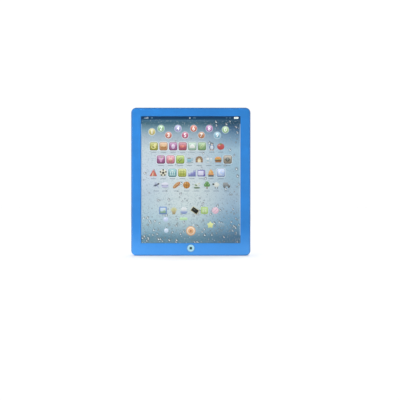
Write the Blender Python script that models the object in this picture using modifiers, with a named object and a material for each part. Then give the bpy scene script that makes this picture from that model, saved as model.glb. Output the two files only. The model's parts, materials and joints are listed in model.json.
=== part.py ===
"""Toy touch tablet: a printed picture panel over a membrane keypad, in a two-part plastic case.

The tablet stands upright on its lower edge. +X is the viewer's right, the picture faces -Y and +Z is up.
The origin is the middle of the lower edge, halfway through the thickness.

Every size below is in millimetres, and the helpers turn it into the scene's metres. A depth is measured
from the front face towards the back, so depth 0 is the front and depth THICKNESS is the back.
"""
import math

import bmesh
import bpy
from mathutils import Matrix, Vector

MM = 0.001
TINY = 1e-4
GAP = 0.3                     # clearance between neighbouring pieces
OVERRUN = 2.0                 # how far a cutter runs past the surface it opens
SHARP_ANGLE = math.radians(35)

# ---- case ----
WIDTH = 193.5
HEIGHT = 240.0
THICKNESS = 20.0
CORNER_RADIUS = 8.5
FRONT_EDGE_RADIUS = 2.2
BACK_EDGE_RADIUS = 3.0
WALL = 2.0
PARTING = 11.0                # depth of the line where the two shells meet
LIP = 0.9                     # thickness of the front shell's tongue
LIP_HEIGHT = 1.3
SIDE_BEZEL = 16.3
TOP_BEZEL = 14.0
BOTTOM_BEZEL = 20.3

BACK_FACE = THICKNESS
BACK_WALL = THICKNESS - WALL  # depth of the rear wall's inner face
WINDOW_X = (SIDE_BEZEL - WIDTH / 2, WIDTH / 2 - SIDE_BEZEL)
WINDOW_Z = (BOTTOM_BEZEL, HEIGHT - TOP_BEZEL)
PANEL_CENTRE_Z = sum(WINDOW_Z) / 2

# ---- picture, membrane and backplate: each a sheet between two depths ----
OVERLAY_MARGIN = 3.5          # how far the picture runs past the window at the sides and the top
OVERLAY_BELOW = 0.9           # how far it runs past the window towards the button
OVERLAY_DEPTH = (1.3, 1.7)
REBATE_DEPTH = 1.0
FILM_MARGIN = 3.0
FILM_BOTTOM = 22.0
TOP_FILM_DEPTH = (2.0, 2.2)
SPACER_DEPTH = (2.5, 2.8)
BOTTOM_FILM_DEPTH = (3.1, 3.3)
BACKPLATE_DEPTH = (3.6, 5.1)
BACKPLATE_X = (-86.0, 86.0)
BACKPLATE_Z = (22.0, 229.5)
KEY_HOLE_RADIUS = 5.0
TAIL_WIDTH = 18.0
TAIL_SLOT_Z = (152.0, 160.0)

# Picture keys: rows of (x of the first key, pitch, number of keys, height), from the panel's centre.
KEY_ROWS = (
    (-60.0, 15.5, 8, 54.1),
    (-48.4, 15.4, 8, 32.7),
    (-60.5, 15.6, 8, 11.2),
    (-56.0, 16.3, 8, -8.7),
    (-45.1, 17.0, 6, -49.9),
    (0.0, 0.0, 1, -83.0),
)
BADGE_COUNT = 10
BADGE_FIRST_X = -62.9
BADGE_PITCH = 13.2
BADGE_HEIGHTS = (83.0, 72.0)  # the number badges zigzag between these two heights

# ---- home button ----
BUTTON_Z = 12.15
BUTTON_RADIUS = 6.2
BUTTON_FLANGE_RADIUS = 7.3
KEY_BOARD_X = (-14.0, 14.0)
KEY_BOARD_Z = (5.5, 19.0)
KEY_BOARD_DEPTH = (7.5, 8.7)
KEY_POST_X = 11.0

# ---- case screws ----
CASE_SCREW_X = 89.5
CASE_SCREW_Z = (14.0, 120.0, 226.0)
FRONT_BOSS_RADIUS = 3.0
REAR_BOSS_RADIUS = 3.9
SCREW_WELL_RADIUS = 2.9
SCREW_WELL_DEPTH = 15.0

# ---- battery bay ----
CELL_RADIUS = 5.25
CELL_LENGTH = 44.5
CELL_PITCH = 11.4
CELL_COUNT = 3
CELL_DEPTH = 12.25
CELL_FIRST_Z = 58.3
BAY_X = (-27.5, 27.5)
BAY_Z = (52.2, 87.2)
BAY_FLOOR = (5.5, 6.7)
BAY_WALL = 1.2
DOOR_X = (-30.0, 30.0)
DOOR_Z = (50.3, 98.3)
DOOR_DEPTH = (18.1, 19.7)
DOOR_CORNER = 2.0
LEDGE_DEPTH = 17.8            # depth of the ledge that the door rests on
HINGE_Z = DOOR_Z[0] - GAP
TAB_X = 18.0
TAB_WIDTH = 6.0
TAB_Z = (48.5, 52.2)
TAB_DEPTH = (16.5, 17.7)
DOOR_SCREW_Z = 93.2
DOOR_BOSS_RADIUS = 3.4
DOOR_SCREW_SEAT = 17.8
CONTACT_THICKNESS = 0.4
WIRE_HOLE_RADIUS = 1.1
WIRE_RADIUS = 0.6
WIRE_EXIT_DEPTH = 9.5

# ---- speaker ----
SPEAKER_Z = 182.0
SPEAKER_RADIUS = 18.0
SPEAKER_RIM_DEPTH = (16.9, 17.7)
CLAMP_DEPTH = (15.6, 16.6)
CLAMP_POST_X = 23.5
GRILLE_PITCH = 5.0
GRILLE_HOLE_RADIUS = 1.1
GRILLE_RINGS = 2

# ---- power switch ----
SWITCH_X = 58.0
SWITCH_Z = 80.0
SWITCH_TRAVEL = 3.5
KNOB_LENGTH = 5.5
KNOB_WIDTH = 4.2
SWITCH_POST_X = 12.0
BRACKET_DEPTH = (12.8, 13.6)

# ---- main board ----
BOARD_X = (-32.0, 32.0)
BOARD_Z = (106.0, 148.0)
BOARD_DEPTH = (7.0, 8.2)
BOARD_SCREW_X = 28.0
BOARD_SCREW_Z = (110.0, 144.0)
BOARD_FACE = BOARD_DEPTH[1] + GAP    # depth where parts on the board begin
CONNECTOR_Z = (142.0, 147.5)

SMALL_HOLE_RADIUS = 1.2       # clearance for the small screws' shanks
BACKPLATE_POST_RADIUS = 3.0
BACKPLATE_POSTS = ((-70.0, 40.0), (70.0, 40.0), (-70.0, 215.0), (70.0, 215.0))

# name: (red, green, blue in sRGB 0-255, roughness, metallic)
FINISHES = {
    "blue_plastic": ((61, 140, 216), 0.38, 0.0),
    "picture_print": ((186, 207, 213), 0.22, 0.0),
    "clear_film": ((214, 222, 222), 0.25, 0.0),
    "spacer_film": ((232, 228, 210), 0.5, 0.0),
    "grey_plastic": ((92, 96, 102), 0.55, 0.0),
    "pale_plastic": ((206, 228, 226), 0.3, 0.0),
    "silicone": ((214, 214, 208), 0.7, 0.0),
    "circuit_board": ((38, 98, 58), 0.5, 0.0),
    "epoxy": ((22, 22, 24), 0.3, 0.0),
    "black_plastic": ((30, 30, 32), 0.45, 0.0),
    "white_nylon": ((228, 224, 212), 0.5, 0.0),
    "capacitor_sleeve": ((34, 42, 84), 0.35, 0.0),
    "steel": ((176, 178, 182), 0.35, 1.0),
    "nickel": ((200, 198, 188), 0.25, 1.0),
    "magnet_plate": ((150, 152, 156), 0.4, 1.0),
    "paper_cone": ((44, 42, 40), 0.9, 0.0),
    "cell_jacket": ((52, 110, 84), 0.4, 0.0),
    "red_wire": ((190, 32, 30), 0.45, 0.0),
    "black_wire": ((28, 28, 30), 0.45, 0.0),
    "grey_wire": ((140, 142, 146), 0.45, 0.0),
}


# ---------------------------------------------------------------- scene helpers

def empty_scene():
    """Remove the scene's objects, and add the collections for the parts and their cutters."""
    for obj in list(bpy.data.objects):
        bpy.data.objects.remove(obj, do_unlink=True)
    for name in ("toy_tablet", "toy_tablet_cutters"):
        bpy.context.scene.collection.children.link(bpy.data.collections.new(name))


def to_scene(x, depth, z):
    """The scene position, in metres, of a point given in millimetres."""
    return Vector((x, depth - THICKNESS / 2, z)) * MM


def linear(level):
    """Turn an sRGB level from 0 to 255 into a linear one from 0 to 1."""
    level /= 255
    return level / 12.92 if level <= 0.04045 else ((level + 0.055) / 1.055) ** 2.4


def finish(name):
    """The material of one finish, made the first time it is asked for."""
    if name in bpy.data.materials:
        return bpy.data.materials[name]
    colour, roughness, metallic = FINISHES[name]
    material = bpy.data.materials.new(name)
    material.use_nodes = True
    shader = material.node_tree.nodes["Principled BSDF"]
    shader.inputs["Base Color"].default_value = [linear(c) for c in colour] + [1.0]
    shader.inputs["Roughness"].default_value = roughness
    shader.inputs["Metallic"].default_value = metallic
    material.diffuse_color = shader.inputs["Base Color"].default_value
    return material


def add_axis(name, x, depth, z):
    """An empty on a joint's axis, which the pieces that move there are parented to."""
    empty = bpy.data.objects.new(name, None)
    empty.empty_display_size = 10 * MM
    empty.location = to_scene(x, depth, z)
    bpy.data.collections["toy_tablet"].objects.link(empty)
    return empty


def place(obj, at, parent):
    """Link a part's object and set its location under its parent."""
    bpy.data.collections["toy_tablet"].objects.link(obj)
    obj.parent = parent
    obj.location = to_scene(*at) - parent.location
    return obj


def add_part(name, bm, finish_name, parent, at=(0, 0, 0)):
    """A sub-part from a bmesh drawn at its place in millimetres, with depth along y."""
    to_local = Matrix.Scale(MM, 4) @ Matrix.Translation(-Vector(at))
    bmesh.ops.transform(bm, matrix=to_local, verts=bm.verts)
    mesh = bpy.data.meshes.new(name)
    bm.to_mesh(mesh)
    bm.free()
    mesh.shade_smooth()
    mesh.set_sharp_from_angle(angle=SHARP_ANGLE)
    mesh.materials.append(finish(finish_name))
    return place(bpy.data.objects.new(name, mesh), at, parent)


def combine(target, label, bm, operation):
    """Join a drawn solid to a part, or cut the part by it."""
    to_world = Matrix.Scale(MM, 4) @ Matrix.Translation((0, -THICKNESS / 2, 0))
    bmesh.ops.transform(bm, matrix=to_world, verts=bm.verts)
    mesh = bpy.data.meshes.new(f"{target.name}_{label}")
    bm.to_mesh(mesh)
    bm.free()
    tool = bpy.data.objects.new(mesh.name, mesh)
    tool.display_type = "WIRE"
    tool.hide_render = True
    bpy.data.collections["toy_tablet_cutters"].objects.link(tool)
    modifier = target.modifiers.new(label, "BOOLEAN")
    modifier.operation = operation
    modifier.object = tool


def join(target, label, bm):
    combine(target, label, bm, "UNION")


def cut(target, label, bm):
    combine(target, label, bm, "DIFFERENCE")


# ---------------------------------------------------------------- drawing helpers

def span(length, centre=0.0):
    """The (low, high) extent of a length about its centre."""
    return (centre - length / 2, centre + length / 2)


def grown(extent, margin):
    """An extent made larger by a margin at both ends."""
    return (extent[0] - margin, extent[1] + margin)


def add_box(bm, x, depth, z):
    """Add a box from its (low, high) extents, and return its vertices."""
    extents = (x, depth, z)
    centre = Vector([(low + high) / 2 for low, high in extents])
    size = [high - low for low, high in extents]
    matrix = Matrix.Translation(centre) @ Matrix.Diagonal((*size, 1.0))
    return bmesh.ops.create_cube(bm, size=1.0, matrix=matrix)["verts"]


def add_rounded_box(bm, x, depth, z, radius, segments=5):
    """Add a box whose four edges along the depth are rounded."""
    verts = add_box(bm, x, depth, z)
    edges = {
        edge
        for vert in verts
        for edge in vert.link_edges
        if abs(edge.verts[0].co.y - edge.verts[1].co.y) > TINY
    }
    bmesh.ops.bevel(
        bm, geom=list(edges), offset=radius, segments=segments, profile=0.5, affect="EDGES"
    )


def round_rim(bm, depth, radius, segments=3):
    """Round the outline that lies at one depth."""
    edges = [e for e in bm.edges if all(abs(v.co.y - depth) < TINY for v in e.verts)]
    bmesh.ops.bevel(
        bm, geom=edges, offset=radius, segments=segments, profile=0.5, affect="EDGES"
    )


def add_cylinder(bm, x, z, depth, radius, segments=16):
    """Add a cylinder along the depth."""
    low, high = depth
    turn = Matrix.Rotation(math.pi / 2, 4, "X")
    bmesh.ops.create_cone(
        bm,
        cap_ends=True,
        segments=segments,
        radius1=radius,
        radius2=radius,
        depth=high - low,
        matrix=Matrix.Translation((x, (low + high) / 2, z)) @ turn,
    )


def add_cross_cylinder(bm, depth, z, x, radius, segments=10):
    """Add a cylinder along x."""
    low, high = x
    bmesh.ops.create_cone(
        bm,
        cap_ends=True,
        segments=segments,
        radius1=radius,
        radius2=radius,
        depth=high - low,
        matrix=Matrix.Translation(((low + high) / 2, depth, z)) @ Matrix.Rotation(math.pi / 2, 4, "Y"),
    )


def add_ring(bm, x, z, depth, inner, outer, segments=32):
    """Add a flat ring whose axis runs along the depth."""
    low, high = depth
    corners = [(inner, low), (outer, low), (outer, high), (inner, high)]
    verts = [bm.verts.new((x + radius, d, z)) for radius, d in corners]
    edges = [bm.edges.new((verts[i], verts[(i + 1) % 4])) for i in range(4)]
    bmesh.ops.spin(
        bm,
        geom=edges,
        cent=(x, 0, z),
        axis=(0, 1, 0),
        angle=2 * math.pi,
        steps=segments,
        use_merge=True,
    )
    bmesh.ops.recalc_face_normals(bm, faces=bm.faces)


def turned_mesh(name, profile, segments, finish_name):
    """The mesh of a turned piece. Its profile is (radius, height) points in millimetres, from the top
    down the outer side."""
    mesh = bpy.data.meshes.new(name)
    points = [(radius * MM, 0, height * MM) for radius, height in profile]
    edges = [(i, i + 1) for i in range(len(points) - 1)]
    if profile[0][0] > TINY:
        edges.append((len(points) - 1, 0))
    mesh.from_pydata(points, edges, [])
    mesh.materials.append(finish(finish_name))
    return mesh


def add_turned(name, profile, finish_name, parent, at, towards, segments=24):
    """A piece turned about an axis through a point. Its top faces one of the directions in TURNS."""
    obj = bpy.data.objects.new(name, turned_mesh(name, profile, segments, finish_name))
    modifier = obj.modifiers.new("turn", "SCREW")
    modifier.steps = segments
    modifier.render_steps = segments
    modifier.use_merge_vertices = True
    modifier.merge_threshold = 0.05 * MM
    modifier.use_smooth_shade = True
    obj.rotation_euler = TURNS[towards]
    return place(obj, at, parent)


TURNS = {
    "back": (-math.pi / 2, 0, 0),
    "front": (math.pi / 2, 0, 0),
    "right": (0, math.pi / 2, 0),
    "left": (0, -math.pi / 2, 0),
}


def cross_recess(depth, width, reach):
    """A bmesh of a cross-shaped prism about the z axis, below and just above z = 0."""
    half = width / 2
    outline = []
    for quarter in range(4):
        turn = Matrix.Rotation(quarter * math.pi / 2, 4, "Z")
        outline += [turn @ Vector(p) for p in ((reach, -half, -depth), (reach, half, -depth), (half, half, -depth))]
    bm = bmesh.new()
    face = bm.faces.new([bm.verts.new(point) for point in outline])
    side = bmesh.ops.extrude_face_region(bm, geom=[face])["geom"]
    raised = [item for item in side if isinstance(item, bmesh.types.BMVert)]
    bmesh.ops.translate(bm, vec=(0, 0, depth + OVERRUN), verts=raised)
    bmesh.ops.recalc_face_normals(bm, faces=bm.faces)
    return bm


def screw_mesh(name, head_radius, head_height, shank_radius, length):
    """The mesh of a cross-head screw along z, with the underside of its head at z = 0."""
    parts = bpy.data.collections["toy_tablet"]
    profile = [
        (0, head_height),
        (head_radius * 0.72, head_height),
        (head_radius, head_height * 0.45),
        (head_radius, 0),
        (shank_radius, 0),
        (shank_radius, -length + shank_radius),
        (0, -length),
    ]
    blank = bpy.data.objects.new(name, turned_mesh(name, profile, 12, "steel"))
    parts.objects.link(blank)
    turn = blank.modifiers.new("turn", "SCREW")
    turn.steps = turn.render_steps = 12
    turn.use_merge_vertices = True
    turn.merge_threshold = 0.05 * MM
    recess = cross_recess(head_height * 0.6, head_radius * 0.28, head_radius * 0.6)
    bmesh.ops.translate(recess, vec=(0, 0, head_height), verts=recess.verts)
    bmesh.ops.scale(recess, vec=(MM, MM, MM), verts=recess.verts)
    drive_mesh = bpy.data.meshes.new(f"{name}_drive")
    recess.to_mesh(drive_mesh)
    recess.free()
    drive = bpy.data.objects.new(drive_mesh.name, drive_mesh)
    parts.objects.link(drive)
    cross = blank.modifiers.new("drive", "BOOLEAN")
    cross.operation = "DIFFERENCE"
    cross.object = drive
    evaluated = blank.evaluated_get(bpy.context.evaluated_depsgraph_get())
    mesh = bpy.data.meshes.new_from_object(evaluated)
    mesh.name = name
    mesh.shade_smooth()
    mesh.set_sharp_from_angle(angle=SHARP_ANGLE)
    bpy.data.objects.remove(blank, do_unlink=True)
    bpy.data.objects.remove(drive, do_unlink=True)
    return mesh


def add_screw(name, mesh, parent, at, towards="back"):
    """A screw whose head faces one way, with the underside of its head at a point."""
    obj = bpy.data.objects.new(name, mesh)
    obj.rotation_euler = TURNS[towards]
    return place(obj, at, parent)


def add_strip(name, path, x, thickness, finish_name, parent):
    """A bent sheet: a path of (depth, z) points, as wide as its extent along x."""
    bm = bmesh.new()
    low = [bm.verts.new((x[0], depth, z)) for depth, z in path]
    edges = [bm.edges.new(pair) for pair in zip(low, low[1:])]
    swept = bmesh.ops.extrude_edge_only(bm, edges=edges)["geom"]
    moved = [item for item in swept if isinstance(item, bmesh.types.BMVert)]
    bmesh.ops.translate(bm, vec=(x[1] - x[0], 0, 0), verts=moved)
    return add_sheet(name, bm, thickness, finish_name, parent)


def add_sheet(name, bm, thickness, finish_name, parent):
    """An open surface thickened to both sides."""
    obj = add_part(name, bm, finish_name, parent)
    modifier = obj.modifiers.new("thickness", "SOLIDIFY")
    modifier.thickness = thickness * MM
    modifier.offset = 0
    modifier.use_even_offset = True
    return obj


def smooth_route(points, steps=4):
    """Points along a smooth curve through the given ones."""
    knots = [Vector(point) for point in points]
    padded = [2 * knots[0] - knots[1]] + knots + [2 * knots[-1] - knots[-2]]
    route = []
    for before, start, end, after in zip(padded, padded[1:], padded[2:], padded[3:]):
        for step in range(steps):
            t = step / steps
            route.append(0.5 * (
                2 * start
                + (end - before) * t
                + (2 * before - 5 * start + 4 * end - after) * t ** 2
                + (3 * start - before - 3 * end + after) * t ** 3
            ))
    return route + [knots[-1]]


def add_wire(name, points, radius, finish_name, parent):
    """A wire along a smooth route through (x, depth, z) points."""
    curve = bpy.data.curves.new(name, "CURVE")
    curve.dimensions = "3D"
    curve.bevel_depth = radius * MM
    curve.bevel_resolution = 2
    curve.use_fill_caps = True
    curve.materials.append(finish(finish_name))
    route = smooth_route(points)
    spline = curve.splines.new("POLY")
    spline.points.add(len(route) - 1)
    for control, point in zip(spline.points, route):
        control.co = (*to_scene(*point), 1.0)
    obj = bpy.data.objects.new(name, curve)
    bpy.data.collections["toy_tablet"].objects.link(obj)
    obj.parent = parent
    return obj


# ---------------------------------------------------------------- layout shared by several pieces

def case_screw_places():
    return [(side * CASE_SCREW_X, z) for side in (-1, 1) for z in CASE_SCREW_Z]


def board_screw_places():
    return [(side * BOARD_SCREW_X, z) for side in (-1, 1) for z in BOARD_SCREW_Z]


def key_places():
    """The (x, z) of every place on the panel that is pressed."""
    for first, pitch, count, height in KEY_ROWS:
        for column in range(count):
            yield first + column * pitch, PANEL_CENTRE_Z + height
    for badge in range(BADGE_COUNT):
        yield BADGE_FIRST_X + badge * BADGE_PITCH, PANEL_CENTRE_Z + BADGE_HEIGHTS[badge % 2]


def film_extents():
    """The membrane films' (x, z) extents."""
    return grown(WINDOW_X, FILM_MARGIN), (FILM_BOTTOM, WINDOW_Z[1] + FILM_MARGIN)


# ---------------------------------------------------------------- case

def front_shell(root):
    """The blue frame: face plate, side wall with its tongue, bosses, posts and film ribs."""
    bm = bmesh.new()
    add_rounded_box(bm, span(WIDTH), (0, PARTING - GAP / 2), (0, HEIGHT), CORNER_RADIUS)
    round_rim(bm, 0, FRONT_EDGE_RADIUS)
    shell = add_part("front_shell", bm, "blue_plastic", root)

    inset = WALL - LIP
    tongue = bmesh.new()
    tongue_depth = (WALL + 1, PARTING + LIP_HEIGHT)
    add_rounded_box(tongue, grown(span(WIDTH), -inset), tongue_depth, (inset, HEIGHT - inset), CORNER_RADIUS - inset)
    join(shell, "tongue", tongue)

    hollow = bmesh.new()
    inner = (grown(span(WIDTH), -WALL), (WALL, HEIGHT - WALL))
    add_rounded_box(hollow, inner[0], (WALL, THICKNESS), inner[1], CORNER_RADIUS - WALL)
    cut(shell, "hollow", hollow)

    fixings = bmesh.new()
    root_depth = WALL * 0.75
    for x, z in case_screw_places():
        add_cylinder(fixings, x, z, (root_depth, PARTING - GAP / 2), FRONT_BOSS_RADIUS, 12)
    for side in (-1, 1):
        add_cylinder(fixings, side * KEY_POST_X, BUTTON_Z, (root_depth, KEY_BOARD_DEPTH[0] - GAP), 2.4, 12)
        rib = sorted((side * (BACKPLATE_X[1] - BAY_WALL), side * BACKPLATE_X[1]))
        add_box(fixings, rib, (root_depth, BACKPLATE_DEPTH[0] - GAP), (30.0, 100.0))
        add_box(fixings, rib, (root_depth, BACKPLATE_DEPTH[0] - GAP), (135.0, 215.0))
    join(shell, "fixings", fixings)

    openings = bmesh.new()
    add_rounded_box(openings, WINDOW_X, (-OVERRUN, WALL + 1), WINDOW_Z, 1.0, 2)
    add_cylinder(openings, 0, BUTTON_Z, (-OVERRUN, WALL + 1), BUTTON_RADIUS + GAP, 28)
    for x, z in case_screw_places():
        add_cylinder(openings, x, z, (6.8, PARTING + OVERRUN), 1.6, 10)
    for side in (-1, 1):
        add_cylinder(openings, side * KEY_POST_X, BUTTON_Z, (3.6, BOARD_DEPTH[1]), SMALL_HOLE_RADIUS, 10)
    cut(shell, "openings", openings)

    rebate = bmesh.new()
    x, z = overlay_extents()
    add_rounded_box(rebate, grown(x, GAP), (REBATE_DEPTH, WALL + 0.5), grown(z, GAP), 2.0, 2)
    cut(shell, "rebate", rebate)


def rear_shell(root):
    """The blue back: side wall, battery bay, bosses, posts, grille, screw wells and switch slot."""
    bm = bmesh.new()
    add_rounded_box(bm, span(WIDTH), (PARTING + GAP / 2, BACK_FACE), (0, HEIGHT), CORNER_RADIUS)
    round_rim(bm, BACK_FACE, BACK_EDGE_RADIUS)
    shell = add_part("rear_shell", bm, "blue_plastic", root)

    hollow = bmesh.new()
    inner_x = grown(span(WIDTH), -WALL)
    add_rounded_box(hollow, inner_x, (PARTING - 1, BACK_WALL), (WALL, HEIGHT - WALL), CORNER_RADIUS - WALL)
    cut(shell, "hollow", hollow)

    inset = WALL - LIP - GAP
    groove = bmesh.new()
    groove_depth = (PARTING - 1, PARTING + LIP_HEIGHT + GAP)
    add_rounded_box(groove, grown(span(WIDTH), -inset), groove_depth, (inset, HEIGHT - inset), CORNER_RADIUS - inset)
    cut(shell, "groove", groove)

    into_wall = BACK_WALL + 0.5
    bay = bmesh.new()
    add_box(bay, grown(BAY_X, BAY_WALL), (BAY_FLOOR[0], into_wall), grown(BAY_Z, BAY_WALL))
    join(shell, "bay", bay)
    flange = bmesh.new()
    flange_margin = GAP + 1.5
    add_box(flange, grown(DOOR_X, flange_margin), (LEDGE_DEPTH - BAY_WALL, into_wall), grown(DOOR_Z, flange_margin))
    join(shell, "door_ledge", flange)
    post = bmesh.new()
    add_box(post, (-5.0, 5.0), (10.5, into_wall + 0.2), (BAY_Z[1] + 0.6, DOOR_Z[1] - 0.2))
    join(shell, "door_screw_post", post)

    fixings = bmesh.new()
    for x, z in case_screw_places():
        add_cylinder(fixings, x, z, (PARTING + GAP / 2, into_wall), REAR_BOSS_RADIUS, 14)
    for x, z in BACKPLATE_POSTS:
        add_cylinder(fixings, x, z, (BACKPLATE_DEPTH[1] + GAP, into_wall), BACKPLATE_POST_RADIUS, 12)
    for side in (-1, 1):
        add_cylinder(fixings, side * CLAMP_POST_X, SPEAKER_Z, (SPEAKER_RIM_DEPTH[0], into_wall), 2.3, 12)
        post_x = SWITCH_X + side * SWITCH_POST_X
        add_cylinder(fixings, post_x, SWITCH_Z, (BRACKET_DEPTH[1] + GAP, into_wall), 2.3, 12)
    add_ring(fixings, 0, SPEAKER_Z, (SPEAKER_RIM_DEPTH[0], into_wall), SPEAKER_RADIUS + 0.4, SPEAKER_RADIUS + 1.6)
    join(shell, "fixings", fixings)

    cavity = bmesh.new()
    add_box(cavity, BAY_X, (BAY_FLOOR[1], BACK_FACE + OVERRUN), BAY_Z)
    cut(shell, "bay_cavity", cavity)
    recess = bmesh.new()
    recess_depth = (LEDGE_DEPTH, BACK_FACE + OVERRUN)
    add_rounded_box(recess, grown(DOOR_X, GAP), recess_depth, grown(DOOR_Z, GAP), DOOR_CORNER + GAP, 3)
    cut(shell, "door_recess", recess)

    notches = bmesh.new()
    for side in (-1, 1):
        notch_x = span(TAB_WIDTH + 1.0, side * TAB_X)
        add_box(notches, notch_x, (15.8, BACK_WALL - 0.05), (TAB_Z[0] - 0.6, BAY_Z[0] + 0.1))
    for side, z in ((-1, cell_z(CELL_COUNT - 1)), (1, cell_z(0))):
        hole_x = sorted((side * (BAY_X[1] - 0.5), side * (BAY_X[1] + BAY_WALL + 0.5)))
        add_cross_cylinder(notches, WIRE_EXIT_DEPTH, z, hole_x, WIRE_HOLE_RADIUS)
    add_cylinder(notches, 0, DOOR_SCREW_Z, (15.7, BACK_FACE + OVERRUN), DOOR_BOSS_RADIUS + 0.9, 20)
    for x, z in case_screw_places():
        add_cylinder(notches, x, z, (SCREW_WELL_DEPTH, BACK_FACE + OVERRUN), SCREW_WELL_RADIUS, 16)
    add_box(notches, span(18.0, SWITCH_X), (BACK_FACE - 0.8, BACK_FACE + OVERRUN), span(9.0, SWITCH_Z))
    for x, z in grille_places():
        add_cylinder(notches, x, z, (BACK_WALL - 0.5, BACK_FACE + OVERRUN), GRILLE_HOLE_RADIUS, 8)
    cut(shell, "recesses", notches)

    holes = bmesh.new()
    for x, z in case_screw_places():
        add_cylinder(holes, x, z, (PARTING - 1, SCREW_WELL_DEPTH + 0.5), 1.7, 10)
    for side in (-1, 1):
        add_cylinder(holes, side * CLAMP_POST_X, SPEAKER_Z, (CLAMP_DEPTH[0], BACK_FACE - 1.0), SMALL_HOLE_RADIUS, 10)
        post_x = SWITCH_X + side * SWITCH_POST_X
        add_cylinder(holes, post_x, SWITCH_Z, (BRACKET_DEPTH[0], BACK_WALL - 0.2), SMALL_HOLE_RADIUS, 10)
    add_cylinder(holes, 0, DOOR_SCREW_Z, (11.3, 16.0), 2.1, 12)
    slot_length = KNOB_LENGTH + SWITCH_TRAVEL + 0.8
    add_box(holes, span(slot_length, SWITCH_X), (BACK_WALL - 0.5, BACK_FACE), span(KNOB_WIDTH + 0.6, SWITCH_Z))
    cut(shell, "holes", holes)


def grille_places():
    """The speaker holes' (x, z): a centre hole, and rings of six more each."""
    places = [(0.0, SPEAKER_Z)]
    for ring in range(1, GRILLE_RINGS + 1):
        for step in range(6 * ring):
            angle = 2 * math.pi * step / (6 * ring)
            radius = ring * GRILLE_PITCH
            places.append((radius * math.cos(angle), SPEAKER_Z + radius * math.sin(angle)))
    return places


def case_screws(root):
    mesh = screw_mesh("case_screw", 2.3, 1.7, 1.3, 8.0)
    for number, (x, z) in enumerate(case_screw_places(), start=1):
        add_screw(f"case_screw_{number}", mesh, root, (x, SCREW_WELL_DEPTH + GAP, z))


# ---------------------------------------------------------------- picture panel and membrane

def overlay_extents():
    """The picture overlay's (x, z) extents."""
    z = (WINDOW_Z[0] - OVERLAY_BELOW, WINDOW_Z[1] + OVERLAY_MARGIN)
    return grown(WINDOW_X, OVERLAY_MARGIN), z


def picture_overlay(root):
    x, z = overlay_extents()
    bm = bmesh.new()
    add_rounded_box(bm, x, OVERLAY_DEPTH, z, 1.7, 2)
    add_part("picture_overlay", bm, "picture_print", root)


def membrane(root):
    """Two conductive films, and between them a spacer with a hole at every key."""
    x, z = film_extents()
    for name, depth in (("membrane_top_film", TOP_FILM_DEPTH), ("membrane_bottom_film", BOTTOM_FILM_DEPTH)):
        bm = bmesh.new()
        add_rounded_box(bm, x, depth, z, 1.5, 2)
        add_part(name, bm, "clear_film", root)
    bm = bmesh.new()
    add_rounded_box(bm, x, SPACER_DEPTH, z, 1.5, 2)
    spacer = add_part("membrane_spacer", bm, "spacer_film", root)
    holes = bmesh.new()
    for key_x, key_z in key_places():
        add_cylinder(holes, key_x, key_z, grown(SPACER_DEPTH, 0.5), KEY_HOLE_RADIUS, 8)
    cut(spacer, "key_holes", holes)


def membrane_tail(root):
    """The membrane's flat tail, from behind the lower film through the backplate to its connector."""
    path = ((3.75, 158.0), (3.75, 154.5), (5.2, 152.6), (7.6, 151.0), (9.6, 150.2), (10.0, 149.0), (10.0, 145.2))
    add_strip("membrane_tail", path, span(TAIL_WIDTH), 0.25, "clear_film", root)


def backplate(root):
    """The stiff plate behind the membrane, with posts for the main board and a slot for the tail."""
    bm = bmesh.new()
    add_rounded_box(bm, BACKPLATE_X, BACKPLATE_DEPTH, BACKPLATE_Z, 3.0, 3)
    plate = add_part("backplate", bm, "grey_plastic", root)
    posts = bmesh.new()
    for x, z in board_screw_places():
        add_cylinder(posts, x, z, (BACKPLATE_DEPTH[0] + 0.5, BOARD_DEPTH[0] - GAP), 2.6, 12)
    join(plate, "posts", posts)
    openings = bmesh.new()
    for x, z in board_screw_places():
        add_cylinder(openings, x, z, (4.2, BOARD_DEPTH[0] + 1), SMALL_HOLE_RADIUS, 10)
    add_box(openings, span(TAIL_WIDTH + 2.0), grown(BACKPLATE_DEPTH, 1.0), TAIL_SLOT_Z)
    cut(plate, "openings", openings)


# ---------------------------------------------------------------- home button

def home_button(axis):
    """The round button: a dished cap, a flange that keeps it in the shell, and a stem."""
    profile = (
        (0, 5.0), (2.0, 5.0), (2.0, 3.3),
        (BUTTON_FLANGE_RADIUS, 3.3), (BUTTON_FLANGE_RADIUS, 2.3), (BUTTON_RADIUS, 2.3),
        (BUTTON_RADIUS, 0.6), (BUTTON_RADIUS - 0.3, 0.3), (5.2, 0.3), (3.4, 0.5), (0, 0.6),
    )
    add_turned("home_button", profile, "pale_plastic", axis, (0, 0, BUTTON_Z), "back", 28)


def button_dome(root):
    """The rubber dome that returns the home button, open towards the key board."""
    profile = (
        (0, 5.9), (1.7, 5.9), (2.1, 6.6), (3.9, 7.2), (4.6, 7.2),
        (4.6, 6.7), (2.8, 6.0), (2.3, 5.3), (0, 5.3),
    )
    add_turned("button_dome", profile, "silicone", root, (0, 0, BUTTON_Z), "back", 20)


def key_board(root, small_screw):
    """The small board under the home button, and its two screws."""
    bm = bmesh.new()
    add_rounded_box(bm, KEY_BOARD_X, KEY_BOARD_DEPTH, KEY_BOARD_Z, 1.5, 2)
    board = add_part("key_board", bm, "circuit_board", root)
    holes = bmesh.new()
    for side in (-1, 1):
        add_cylinder(holes, side * KEY_POST_X, BUTTON_Z, grown(KEY_BOARD_DEPTH, 1), SMALL_HOLE_RADIUS, 10)
    cut(board, "holes", holes)
    for name, side in (("left", -1), ("right", 1)):
        at = (side * KEY_POST_X, KEY_BOARD_DEPTH[1] + GAP, BUTTON_Z)
        add_screw(f"key_board_screw_{name}", small_screw, root, at)


# ---------------------------------------------------------------- battery bay

def cell_z(index):
    return CELL_FIRST_Z + index * CELL_PITCH


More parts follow.
